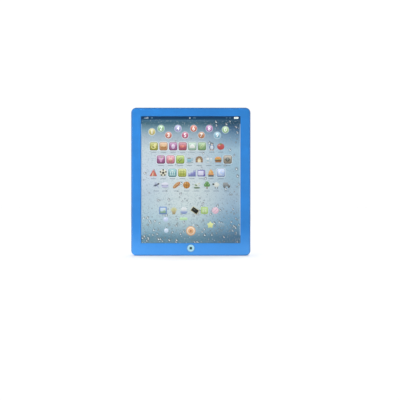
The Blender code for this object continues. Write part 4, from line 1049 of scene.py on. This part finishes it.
def leaf(pen, colour=(190, 214, 154), vein=(96, 134, 82)):
    pen.oval(0, 0, 0.72, 0.34, colour, turn=48)
    pen.stroke([(-0.56, -0.62), (0.4, 0.46)], 0.06, vein)
    for u, v in ((-0.2, -0.22), (0.06, 0.08)):
        pen.stroke([(u, v), (u + 0.28, v - 0.02)], 0.045, vein)
        pen.stroke([(u, v), (u + 0.02, v + 0.3)], 0.045, vein)


def penguin(pen):
    for u in (-0.3, 0.3):
        pen.oval(u, -0.86, 0.24, 0.12, (226, 160, 80))
    pen.oval(0, -0.2, 0.62, 0.72, (92, 124, 166))
    pen.oval(0, -0.28, 0.4, 0.56, (222, 232, 242))
    pen.oval(0, 0.56, 0.36, colour=(52, 62, 84))
    pen.oval(0, 0.48, 0.22, 0.18, WHITE)
    pen.shape([(-0.1, 0.5), (0.1, 0.5), (0, 0.36)], (232, 160, 70))


def tomato(pen):
    pen.oval(0, -0.08, 0.88, 0.8, (200, 80, 78))
    pen.oval(-0.34, 0.22, 0.28, 0.18, (244, 190, 180), turn=30, opacity=0.8)
    star_at(pen, 0, 0.58, 0.36, 0.14, LEAF)


def star_at(pen, u, v, outer, inner, colour):
    points = [polar(90 + 36 * i, inner if i % 2 else outer) for i in range(10)]
    pen.shape(tilted(points, u, v, 0), colour)


def grapes(pen):
    for v, row in ((0.22, (-0.36, 0, 0.36)), (-0.1, (-0.18, 0.18)), (-0.42, (0,))):
        pen.dots([(u, v) for u in row], 0.22, (214, 160, 200))
    pen.dots([(-0.42, 0.3), (-0.06, 0.3), (0.3, 0.3), (-0.24, -0.02), (0.12, -0.02)], 0.05, WHITE)
    pen.oval(0.16, 0.58, 0.26, 0.13, LEAF, turn=20)


def cupcake(pen):
    pen.shape([(-0.44, -0.06), (0.44, -0.06), (0.32, -0.66), (-0.32, -0.66)], (170, 112, 96))
    for u in (-0.2, 0, 0.2):
        pen.stroke([(u, -0.12), (u * 0.8, -0.6)], 0.05, (206, 150, 130))
    pen.oval(0, 0.04, 0.54, 0.26, (240, 184, 172))
    pen.oval(0, 0.3, 0.36, 0.22, (246, 200, 188))
    pen.dots([(0.02, 0.58)], 0.13, (190, 58, 62))


def olive_leaf(pen):
    leaf(pen, (116, 142, 58), (206, 218, 160))


def cup(pen):
    pen.oval(0.1, -0.66, 0.86, 0.24, (96, 116, 122), fade=0, opacity=0.4)
    pen.oval(0.62, 0.02, 0.32, 0.3, (128, 180, 198))
    pen.oval(0.62, 0.02, 0.17, 0.16, wallpaper_at(pen.x, pen.z))
    pen.shape([(-0.66, 0.36), (0.6, 0.36), (0.38, -0.62), (-0.44, -0.62)], (146, 196, 212))
    pen.oval(-0.03, 0.36, 0.63, 0.18, (216, 236, 240))
    pen.oval(-0.03, 0.34, 0.5, 0.12, (122, 92, 72))


def hut(pen):
    pen.oval(0, 0, 0.86, 0.8, (148, 116, 84), part=(0, 180))
    pen.block(0, -0.34, 1.72, 0.72, (148, 116, 84), 0.04, fade=0.05)
    pen.oval(0, -0.12, 0.36, 0.4, CREAM, part=(0, 180))
    pen.block(0, -0.4, 0.72, 0.58, CREAM, 0.02, fade=0.03)
    for u, v in ((-0.56, 0.2), (0.56, 0.2), (-0.6, -0.3), (0.6, -0.3)):
        pen.block(u, v, 0.22, 0.12, (188, 160, 122), 0.03)


def bottle(pen):
    pen.block(-0.26, -0.2, 0.58, 1.2, (230, 238, 238), 0.16)
    pen.block(-0.26, 0.56, 0.24, 0.5, (206, 216, 218), 0.06)
    pen.block(-0.26, 0.84, 0.3, 0.16, (120, 146, 160), 0.05)
    pen.block(-0.26, -0.26, 0.58, 0.42, (164, 194, 204), 0.02)
    pen.shape([(0.22, 0.2), (0.8, 0.2), (0.7, -0.8), (0.32, -0.8)], (196, 214, 222), opacity=0.9)
    pen.oval(0.51, 0.2, 0.29, 0.08, WHITE)


def burger(pen):
    pen.block(0, -0.5, 1.5, 0.42, (158, 106, 62), 0.2)
    pen.block(0, -0.2, 1.64, 0.24, (98, 62, 44), 0.1)
    frill = [(-0.84, -0.06), (-0.5, -0.16), (-0.16, -0.02), (0.2, -0.16), (0.54, -0.02), (0.84, -0.1)]
    pen.shape([*frill, (0.76, 0.1), (-0.76, 0.1)], (146, 174, 92))
    pen.oval(0, 0.04, 0.78, 0.64, (242, 166, 80), part=(0, 180))
    pen.dots([(-0.36, 0.34), (0, 0.5), (0.34, 0.3)], 0.06, CREAM)


def gem(pen):
    for half, colour in ((0.66, (82, 86, 82)), (0.22, (128, 132, 124))):
        pen.shape([(0, 0.66), (half, 0), (0, -0.66), (-half, 0)], colour)


def tent(pen):
    pen.stroke([(0.78, -0.82), (0.1, 0.86)], 0.12, (136, 92, 62))
    pen.shape([(-0.96, -0.82), (0.84, -0.82), (-0.06, 0.78)], (212, 98, 86))
    pen.shape([(-0.52, -0.82), (0.36, -0.82), (-0.06, 0.24)], (244, 202, 166))
    pen.shape([(-0.08, -0.82), (0.36, -0.82), (-0.06, 0.24)], (196, 140, 112))


def football(pen):
    pen.oval(0, 0, 0.86, colour=(232, 230, 208))
    outer = [polar(90 + 72 * i, 0.68) for i in range(5)]
    for spot in outer:
        pen.stroke([(0, 0), spot], 0.07, (92, 92, 80))
    for u, v, radius in ((0, 0, 0.32), *[(*spot, 0.22) for spot in outer]):
        pen.oval(u, v, radius, colour=(36, 38, 30), steps=5, turn=90)


def temple(pen):
    pen.shape([(-0.7, 0.3), (0.7, 0.3), (0, 0.66)], (196, 224, 222))
    for u in (-0.46, 0, 0.46):
        pen.block(u, -0.12, 0.22, 0.72, (206, 230, 228), 0.03)
    pen.block(0, -0.56, 1.4, 0.16, (196, 224, 222), 0.03)


def grid(pen):
    for place in (-0.32, 0.32):
        for line in ([(place, -0.66), (place, 0.66)], [(-0.66, place), (0.66, place)]):
            pen.stroke(line, 0.1, (124, 138, 48))


def building_blocks(pen):
    for u, height in ((-0.6, 0.7), (0.0, 1.0), (0.6, 1.4)):
        pen.block(u, height / 2 - 0.84, 0.58, height, (126, 130, 196), 0.08)
        pen.block(u, height - 1.02, 0.4, 0.18, (196, 206, 232), 0.05)
    pen.block(0, -0.8, 1.84, 0.2, (104, 122, 172), 0.06)


def television(pen):
    pen.stroke([(-0.36, 0.94), (0, 0.6), (0.36, 0.94)], 0.07, (110, 104, 140))
    pen.block(0, -0.12, 1.84, 1.5, (112, 100, 184), 0.2)
    pen.block(-0.14, -0.1, 1.3, 1.1, (226, 226, 248), 0.16)
    pen.dots([(0.74, 0.2), (0.74, -0.1)], 0.08, (226, 214, 160))


def bell(pen):
    pen.block(0, -0.74, 1.3, 0.34, (58, 54, 46), 0.1)
    pen.oval(0, -0.1, 0.56, 0.76, (236, 170, 80), part=(0, 180))
    pen.shape([(-0.56, -0.12), (0.56, -0.12), (0.78, -0.52), (-0.78, -0.52)], (222, 150, 70))
    pen.oval(-0.2, 0.18, 0.1, 0.3, CREAM, turn=8, opacity=0.8)
    pen.dots([(0, 0.74)], 0.12, GOLD)


def moon(pen, tile=(184, 206, 246)):
    pen.oval(-0.06, 0, 0.56, colour=(226, 236, 248))
    pen.oval(0.2, 0.12, 0.46, colour=tile, fade=0.05)
    star_at(pen, 0.42, 0.3, 0.22, 0.09, (240, 240, 214))


def swallow(pen):
    pen.shape([(-0.9, -0.3), (-0.34, -0.24), (-0.3, 0.02)], SLATE)
    pen.oval(0, 0, 0.56, 0.26, (88, 98, 118), turn=24)
    pen.shape([(-0.16, 0.1), (0.2, 0.16), (-0.46, 0.86)], (168, 172, 206))
    pen.shape([(0.06, -0.1), (0.32, 0.04), (0.6, -0.72)], (140, 148, 186))
    pen.oval(0.52, 0.3, 0.22, colour=(72, 80, 98))
    pen.shape([(0.7, 0.38), (0.94, 0.3), (0.7, 0.22)], (222, 170, 96))


def drum(pen):
    pen.oval(0, -0.36, 0.8, 0.36, (188, 194, 216))
    pen.block(0, -0.06, 1.6, 0.6, (204, 200, 242), 0.02, fade=0.06)
    pen.block(0, -0.08, 1.6, 0.2, (144, 152, 174), 0.02, fade=0)
    pen.oval(0, 0.26, 0.8, 0.36, (228, 230, 246))


def hot_dog(pen):
    pen.oval(0, 0, 1.12, 0.46, (206, 158, 104), turn=42)
    pen.oval(0.06, -0.02, 1.16, 0.24, (166, 92, 62), turn=42)
    zigzag = [(-0.66 + 0.22 * i, -0.6 + 0.2 * i + (0.1 if i % 2 else -0.06)) for i in range(7)]
    pen.stroke(zigzag, 0.08, (244, 214, 140))


def basketball(pen):
    pen.oval(0, 0, 0.84, colour=(206, 140, 58))
    for seam in ([(-0.8, 0), (0.8, 0)], [(0, -0.8), (0, 0.8)]):
        pen.stroke(seam, 0.07, (96, 66, 38))
    for side in (-1, 1):
        bow = [(side * (0.34 + 0.3 * abs(v)), v) for v in (-0.6, -0.3, 0, 0.3, 0.6)]
        pen.stroke(bow, 0.06, (96, 66, 38))
    pen.oval(-0.3, 0.42, 0.2, 0.13, (232, 196, 140), turn=30, opacity=0.7)


def white_bird(pen):
    pen.oval(0.1, -0.66, 0.8, 0.2, (88, 118, 82))
    pen.oval(0, -0.08, 0.6, 0.4, (224, 232, 222), turn=-12)
    pen.oval(0.46, 0.34, 0.26, colour=(230, 238, 228))
    pen.oval(-0.12, -0.02, 0.36, 0.2, (128, 156, 122), turn=-24)
    pen.shape([(0.68, 0.42), (0.92, 0.32), (0.68, 0.24)], (226, 176, 92))
    pen.dots([(0.52, 0.42)], 0.06, INK_BLACK)


def tree(pen):
    pen.block(0, -0.6, 0.26, 0.64, (134, 100, 64), 0.04)
    for u, v, radius in ((-0.34, 0, 0.42), (0.34, 0, 0.42), (0, 0.42, 0.46)):
        pen.oval(u, v, radius, colour=(96, 156, 84))
    pen.dots([(-0.2, 0.5), (0.3, 0.16), (-0.36, 0.08)], 0.12, (158, 188, 134))


def sheep(pen):
    for u in (-0.2, 0.4):
        pen.stroke([(u, -0.84), (u, -0.3)], 0.13, (70, 72, 66))
    for u, v, radius in ((-0.2, 0.02, 0.4), (0.4, 0.04, 0.4), (0.1, 0.26, 0.42), (0.1, -0.16, 0.42)):
        pen.oval(u, v, radius, colour=(226, 234, 226))
    pen.oval(-0.62, 0.2, 0.26, 0.22, (66, 74, 66), turn=-20)


def truck(pen):
    pen.block(-0.26, 0.14, 1.16, 0.94, (146, 152, 154), 0.06)
    pen.block(0.6, -0.06, 0.6, 0.62, (104, 110, 114), 0.1)
    pen.block(0.66, 0.04, 0.34, 0.26, (196, 212, 220), 0.04)
    for u in (-0.5, 0.54):
        pen.oval(u, -0.44, 0.26, colour=(48, 50, 50))
        pen.oval(u, -0.44, 0.11, colour=(168, 172, 172))


def framed_picture(pen):
    pen.block(0, 0, 1.8, 1.8, (104, 140, 204), 0.16)
    pen.block(0, 0, 1.3, 1.3, (196, 220, 238), 0.05)
    hills = [(-0.65, -0.62), (0.65, -0.62), (0.65, -0.1), (0.26, 0.08), (-0.2, -0.3), (-0.65, -0.1)]
    pen.shape(hills, (140, 180, 150))
    pen.dots([(0.3, 0.34)], 0.15, (246, 236, 180))


def fan(pen, turns, across, up, foot, colour):
    """Long leaves or petals that spread from one point."""
    for turn in turns:
        u, v = polar(turn, across, up)
        pen.oval(u, v + foot, 0.5, 0.17, colour, turn=turn)


def plant(pen):
    fan(pen, (20, 55, 90, 125, 160), 0.42, 0.46, -0.1, (206, 206, 148))
    pen.shape([(-0.46, -0.24), (0.46, -0.24), (0.32, -0.92), (-0.32, -0.92)], (178, 160, 112))
    pen.block(0, -0.26, 1.06, 0.2, (198, 178, 124), 0.05)


def water_lily(pen):
    fan(pen, (40, 65, 90, 115, 140), 0.46, 0.5, -0.12, (234, 240, 242))
    pen.oval(0, -0.24, 0.86, 0.62, (134, 156, 206), part=(180, 360))
    pen.oval(0, -0.24, 0.86, 0.18, (176, 192, 226))


def blackboard(pen):
    pen.block(0.02, 0, 1.9, 1.3, (212, 208, 170), 0.12, turn=-35)
    pen.block(0.02, 0, 1.62, 1.02, (10, 10, 4), 0.04, turn=-35)
    pen.stroke([(-0.34, 0.42), (0.1, 0.12)], 0.05, (150, 150, 120))


def clover(pen):
    pen.block(0, 0, 1.7, 1.7, (184, 220, 126), 0.3)
    for u, v in ((-0.26, 0.26), (0.26, 0.26), (-0.26, -0.22), (0.26, -0.22)):
        pen.oval(u, v, 0.3, colour=(206, 230, 180))
    pen.stroke([(0, 0), (0.16, -0.66)], 0.08, (130, 168, 104))


def striped_ball(pen):
    pen.oval(0, 0, 0.8, colour=(246, 212, 224))
    for offset in (-0.4, 0, 0.4):
        reach = 0.7 * (math.sqrt(0.8 ** 2 - offset ** 2) - 0.1)
        line = [(offset - reach, -offset - reach), (offset + reach, -offset + reach)]
        pen.stroke(line, 0.13, (208, 160, 192))
    pen.oval(-0.3, 0.36, 0.2, 0.13, WHITE, turn=36, opacity=0.8)


# Rows of keys: height above the panel's centre, size, and each key's x, tile colour (or None) and picture.
KEY_ROWS = (
    (54.1, 13.4, (
        (-60.0, (168, 170, 66), duckling), (-44.3, (216, 162, 116), loaf), (-28.6, (168, 96, 152), egg),
        (-13.2, (182, 92, 112), fish), (2.3, (176, 212, 190), cloud), (18.1, (142, 184, 128), leaf),
        (34.1, None, penguin), (48.5, None, tomato),
    )),
    (32.7, 13.6, (
        (-48.4, (158, 86, 138), grapes), (-32.9, (218, 132, 152), cupcake),
        (-17.1, (168, 200, 88), olive_leaf), (-2.3, None, cup), (13.6, None, hut), (29.3, None, bottle),
        (44.3, None, burger), (59.7, (160, 150, 132), gem),
    )),
    (11.2, 13.6, (
        (-60.5, None, tent), (-44.8, None, football), (-29.8, (108, 174, 182), temple),
        (-13.9, (192, 200, 96), grid), (1.9, None, building_blocks), (17.2, None, television),
        (32.6, None, bell), (48.9, (184, 206, 246), moon),
    )),
    (-8.7, 13.6, (
        (-56.0, None, swallow), (-41.9, None, drum), (-23.1, None, hot_dog), (-6.9, None, basketball),
        (9.1, None, white_bird), (26.3, None, tree), (40.8, None, sheep), (57.9, None, truck),
    )),
    (-49.9, 13.6, (
        (-45.1, None, framed_picture), (-27.5, None, plant), (-11.1, None, water_lily),
        (6.4, None, blackboard), (22.1, None, clover), (39.8, None, striped_ball),
    )),
)
CAPTIONED_ABOVE = -20.0

# The number badges, from 1 to 9 and then 0: x and height from the panel's centre, and colour.
BADGES = (
    (-62.9, 77.6, (218, 204, 124)), (-48.4, 83.0, (160, 214, 160)), (-36.2, 72.0, (220, 124, 104)),
    (-20.8, 83.0, (184, 182, 238)), (-9.3, 72.0, (212, 98, 138)), (4.6, 83.0, (230, 124, 102)),
    (17.3, 72.0, (214, 144, 102)), (29.9, 83.0, (202, 132, 204)), (43.0, 72.0, (154, 210, 236)),
    (56.1, 81.0, (180, 228, 168)),
)


def picture_keys(inks):
    for height, size, keys in KEY_ROWS:
        for x, tile, draw in keys:
            pen = Pen(inks, x, height, size)
            if tile:
                pen.tile(tile)
            draw(pen)
            if tile:
                pen.gloss()
            if height > CAPTIONED_ABOVE:
                pen.caption()


DIGIT_SHARE = 0.72                 # a digit's height as a share of its font size
DIGIT_BOLD = 0.012                 # how much each digit's outline is thickened, as a share of its height


def glyph_faces(character, height):
    """The faces of a digit, centred on the origin."""
    curve = bpy.data.curves.new("glyph", "FONT")
    curve.body = character
    curve.size = height / DIGIT_SHARE
    curve.offset = height * DIGIT_BOLD
    curve.resolution_u = 3
    obj = bpy.data.objects.new("glyph", curve)
    bpy.context.scene.collection.objects.link(obj)
    mesh = obj.evaluated_get(bpy.context.evaluated_depsgraph_get()).to_mesh()
    corners = [[mesh.vertices[i].co.copy() for i in polygon.vertices] for polygon in mesh.polygons]
    bpy.data.objects.remove(obj, do_unlink=True)
    bpy.data.curves.remove(curve)
    every = [point for face in corners for point in face]
    centre = [(min(p[axis] for p in every) + max(p[axis] for p in every)) / 2 for axis in (0, 1)]
    return [[(point.x - centre[0], point.y - centre[1]) for point in face] for face in corners]


def number_badges(inks):
    """Round glossy badges, each with a digit."""
    for number, (x, z, colour) in enumerate(BADGES, start=1):
        pen = Pen(inks, x, z, 11.7)
        pen.oval(0, 0, 1.04, colour=GLINT, fade=0, opacity=0.3, steps=28)
        pen.oval(0, 0, 0.92, colour=toned(colour, -0.1), fade=0.1, steps=28)
        pen.oval(0, 0.03, 0.8, colour=colour, fade=0.2, steps=28)
        for face in glyph_faces(str(number % 10), 6.4):
            for offset, ink in ((0.45, toned(colour, -0.7)), (0.0, GLINT)):
                inks.add([(x + a + offset, z + b - offset) for a, b in face], ink, ink, 0.9)
        pen.oval(0, 0.4, 0.66, 0.42, colour=GLINT, fade=0, opacity=0.04, head_opacity=0.3, steps=24)


def other_keys(inks):
    """The round key at the foot, and the loose shapes about it."""
    play = Pen(inks, 0, -83, 15.4)
    rings = ((1.0, (234, 180, 128), 30), (0.82, (255, 232, 204), 30), (0.58, (242, 182, 124), 24))
    for radius, colour, steps in rings:
        play.oval(0, 0, radius, colour=colour, steps=steps)
    play.shape([(-0.16, 0.26), (0.3, 0), (-0.16, -0.26)], (178, 116, 70))
    for x, z, size, colour in ((-40.6, -64.4, 8.0, (206, 222, 255)), (-39.8, -82.5, 7.4, (210, 232, 255))):
        bubble = Pen(inks, x, z, size)
        bubble.oval(0, 0, 1.0, colour=colour)
        bubble.oval(-0.3, 0.34, 0.3, 0.2, fade=0, turn=36, opacity=0.8)
    Pen(inks, -11.7, -63.5, 13.0).block(0, 0, 2.0, 0.7, (196, 240, 184), 0.3)
    star_at(Pen(inks, 31.7, -73.4, 12.0), 0, 0, 1.0, 0.6, (236, 248, 168))
    Pen(inks, 48.9, -73.4, 11.0).block(0, 0, 2.0, 1.2, (146, 180, 198), 0.2, opacity=0.75)
    Pen(inks, 4.0, -73.5, 3.4).shape([(-0.9, -0.8), (0.9, -0.5), (0.1, 0.9)], WHITE)


SHEET_MARGIN = 1.0                 # the print under the frame's lip stops this far from the sheet's edge

# Plain marks in the bar along the top: x, width, height, colour and corner.
STATUS_MARKS = (
    (-63.0, 3.3, 1.21, (112, 148, 172), 0.44), (6.0, 4.4, 0.8, (120, 154, 176), 0.3),
    (58.0, 2.4, 1.0, (96, 134, 160), 0.3), (63.5, 2.4, 1.0, (96, 134, 160), 0.3),
)


def status_bar(inks):
    """The dark bar along the top, with signal bars, a padlock and a battery mark."""
    head = PANEL_HEIGHT / 2
    foot = head - 5.6
    edge = OVERLAY_X[1] - SHEET_MARGIN
    bar = [(-edge, foot), (edge, foot), (edge, head + 2.5), (-edge, head + 2.5)]
    inks.add(bar, (0, 62, 98), (0, 40, 78))
    z = head - 2.7
    for step in range(5):
        signal = Pen(inks, -75.5 + 1.5 * step, z, 2.0)
        signal.block(0, 0.15 * step - 0.5, 0.9, 0.6 + 0.5 * step, (206, 222, 232), 0.1, fade=0)
    for x, width, height, colour, corner in STATUS_MARKS:
        Pen(inks, x, z, 2.0).block(0, 0, width, height, colour, corner, fade=0)
    lock = Pen(inks, -1.5, z, 2.4)
    lock.oval(0, 0.3, 0.55, 0.8, (214, 226, 232), fade=0)
    lock.oval(0, 0.3, 0.28, 0.5, (4, 46, 78), fade=0)
    lock.block(0, -0.35, 1.5, 1.1, (214, 226, 232), 0.15, fade=0)
    charge = Pen(inks, 73.5, z, 3.0)
    charge.block(0, 0, 4.4, 2.0, GLINT, 0.4, fade=0)
    charge.block(2.35, 0, 0.3, 0.8, GLINT, 0.1, fade=0)
    charge.block(0.1, 0, 3.6, 1.2, (214, 240, 226), 0.2, fade=0.1)


def drop_place(chance):
    """Where a drop lies: most near the foot, some down the right side and in the top right corner."""
    side, foot = WINDOW_X[1] - 1.5, 1.5 - PANEL_HEIGHT / 2
    head = -foot - 6
    where = chance.random()
    if where < 0.68:
        return chance.uniform(-side, side), foot + abs(chance.gauss(0, 0.2)) * PANEL_HEIGHT
    if where < 0.82:
        return side - abs(chance.gauss(0, 12.0)), chance.uniform(foot, head)
    if where < 0.88:
        return chance.uniform(10.0, side), head - abs(chance.gauss(0, 12.0))
    return chance.uniform(-side, side), chance.uniform(foot, head)


DROPS = 430
BIG_DROP = 2.8                     # half the size from which a drop's glint is white


def water_drops(inks):
    """Beads of water: a dark upper edge, a bright foot where light gathers, and a glint."""
    chance = random.Random(7)
    for _ in range(DROPS):
        x, z = drop_place(chance)
        if not -PANEL_HEIGHT / 2 <= z <= PANEL_HEIGHT / 2 - 7.5:
            continue
        size = 0.8 + 3.6 * chance.random() ** 2.4
        ground = wallpaper_at(x, z)
        turn, tall = chance.uniform(-25, 25), chance.uniform(1.0, 1.25)
        pen = Pen(inks, x, z, 2 * size)
        shade = {"steps": 14, "fade": 0, "opacity": 0.35, "head_opacity": 0.8}
        pen.oval(0.02, -0.08, 0.6, 0.6 * tall, toned(ground, -0.7), turn, **shade)
        light = {"steps": 14, "fade": 0.3, "opacity": 0.95, "head_opacity": 0.3}
        pen.oval(0, -0.02, 0.5, 0.5 * tall, toned(ground, 0.3), turn, **light)
        glint = GLINT if size > BIG_DROP else toned(ground, 0.6)
        pen.oval(0.05, -0.26, 0.3, 0.12, glint, turn, steps=10, fade=0, opacity=0.8)
        pen.oval(-0.16, 0.24, 0.11, colour=glint, steps=8, fade=0)


EDGE_LIGHT = (190, 222, 250)       # the pale line down both sides of the window


def picture_sheet(material):
    """The overlay: one thin sheet that carries the whole print."""
    inks = Inks()
    for side in (-1, 1):
        ends = sorted(side * across for across in (WINDOW_X[1] - 1.3, OVERLAY_X[1] - SHEET_MARGIN))
        strip = list(zip(ends + ends[::-1], (-90.0, -90.0, 90.0, 90.0)))
        inks.add(strip, EDGE_LIGHT, EDGE_LIGHT, 0.55)
    water_drops(inks)
    status_bar(inks)
    picture_keys(inks)
    number_badges(inks)
    other_keys(inks)
    outline = [(x, z) for x, _, z in corner_ring(OVERLAY_X, OVERLAY_Z, 1.7, 0, steps=4)]
    bm = inks.sheet(outline, OVERLAY_DEPTH)
    piece("picture_sheet", bm, material, "case", ["picture_overlay"])


# ---------------------------------------------------------------- studio

PAPER = (252, 252, 252)
LENS = 100.0
CAMERA_AT = (0.0149, -1.81, 0.0902)
SUBJECT = Vector((0.0, 0.0, 0.12))
# Softboxes: where each stands, its side in metres, and its power in watts.
SOFTBOXES = (
    ((-0.52, -0.56, 0.05), 0.16, 5.2),
    ((0.5, -0.9, 0.05), 0.3, 2.8),
    ((1.0, 1.7, 1.4), 1.2, 6.0),
)


def put(data, place):
    """An object for a light or a camera, at its place."""
    obj = bpy.data.objects.new(data.name, data)
    obj.location = place
    bpy.context.scene.collection.objects.link(obj)
    return obj


def softbox(number, place, side, power):
    data = bpy.data.lights.new(f"softbox_{number}", "AREA")
    data.shape = "SQUARE"
    data.size = side
    data.energy = power
    light = put(data, place)
    light.visible_camera = False
    light.rotation_euler = (SUBJECT - Vector(place)).to_track_quat("-Z", "Y").to_euler()


def white_room():
    """A backdrop that the camera sees as white, and that lights the object as a dim room does.

    The light it gives grows towards the back, behind the object, and towards the ceiling.
    """
    world = bpy.data.worlds.new("white_room")
    bpy.context.scene.world = world
    world.use_nodes = True
    room = Nodes(world.node_tree, "Generated")
    _, back, up = room.axes()
    light = room.maths("ADD", room.remap(back, 0.3, 0.9, 0.2, 1.02), room.remap(up, 0.1, 0.8, 0.0, 0.95))
    seen = room.node("ShaderNodeLightPath").outputs["Is Camera Ray"]
    background = world.node_tree.nodes["Background"].inputs
    room.fill(background["Strength"], room.maths("MAXIMUM", light, seen))
    room.fill(background["Color"], (1.0, 1.0, 1.0, 1.0))


def floor():
    """A wide pale floor with the faintest mottle."""
    obj = to_object("floor", drawn(bmesh.ops.create_circle, cap_ends=True, segments=96, radius=12.0))
    shader = Shader("floor_paper", PAPER, 0.9)
    shader.vary(PAPER, 0.004, 0.004)
    shader.set("Specular IOR Level", 0.1)
    obj.data.materials.append(shader.material)
    obj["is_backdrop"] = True


def camera():
    data = bpy.data.cameras.new("camera")
    data.lens = LENS
    obj = put(data, CAMERA_AT)
    obj.rotation_euler = (math.pi / 2, 0, 0)
    bpy.context.scene.camera = obj


def studio():
    bpy.context.scene.view_settings.view_transform = "Standard"
    camera()
    white_room()
    floor()
    for number, (place, side, power) in enumerate(SOFTBOXES, start=1):
        softbox(number, place, side, power)


# ---------------------------------------------------------------- the whole scene

def write_sizes():
    """Both boxes in metres, the CAD model's and the looks'; they are worked out here but not written or
    kept.
    """
    boxes = {"cad": CAD_BOX, "visual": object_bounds()}
    boxes = {name: [list(corner) for corner in box] for name, box in boxes.items()}


def build():
    materials = make_materials()
    dress_cad_nodes(materials)
    front_shell(materials["blue_plastic"])
    rear_shell(materials["blue_plastic"])
    battery_door(materials["blue_plastic"])
    switch_knob(materials["black_plastic"])
    home_button(materials["pale_plastic"], materials["button_mark"])
    button_dome(materials["silicone"])
    picture_sheet(materials["picture_print"])
    studio()
    write_sizes()


build()
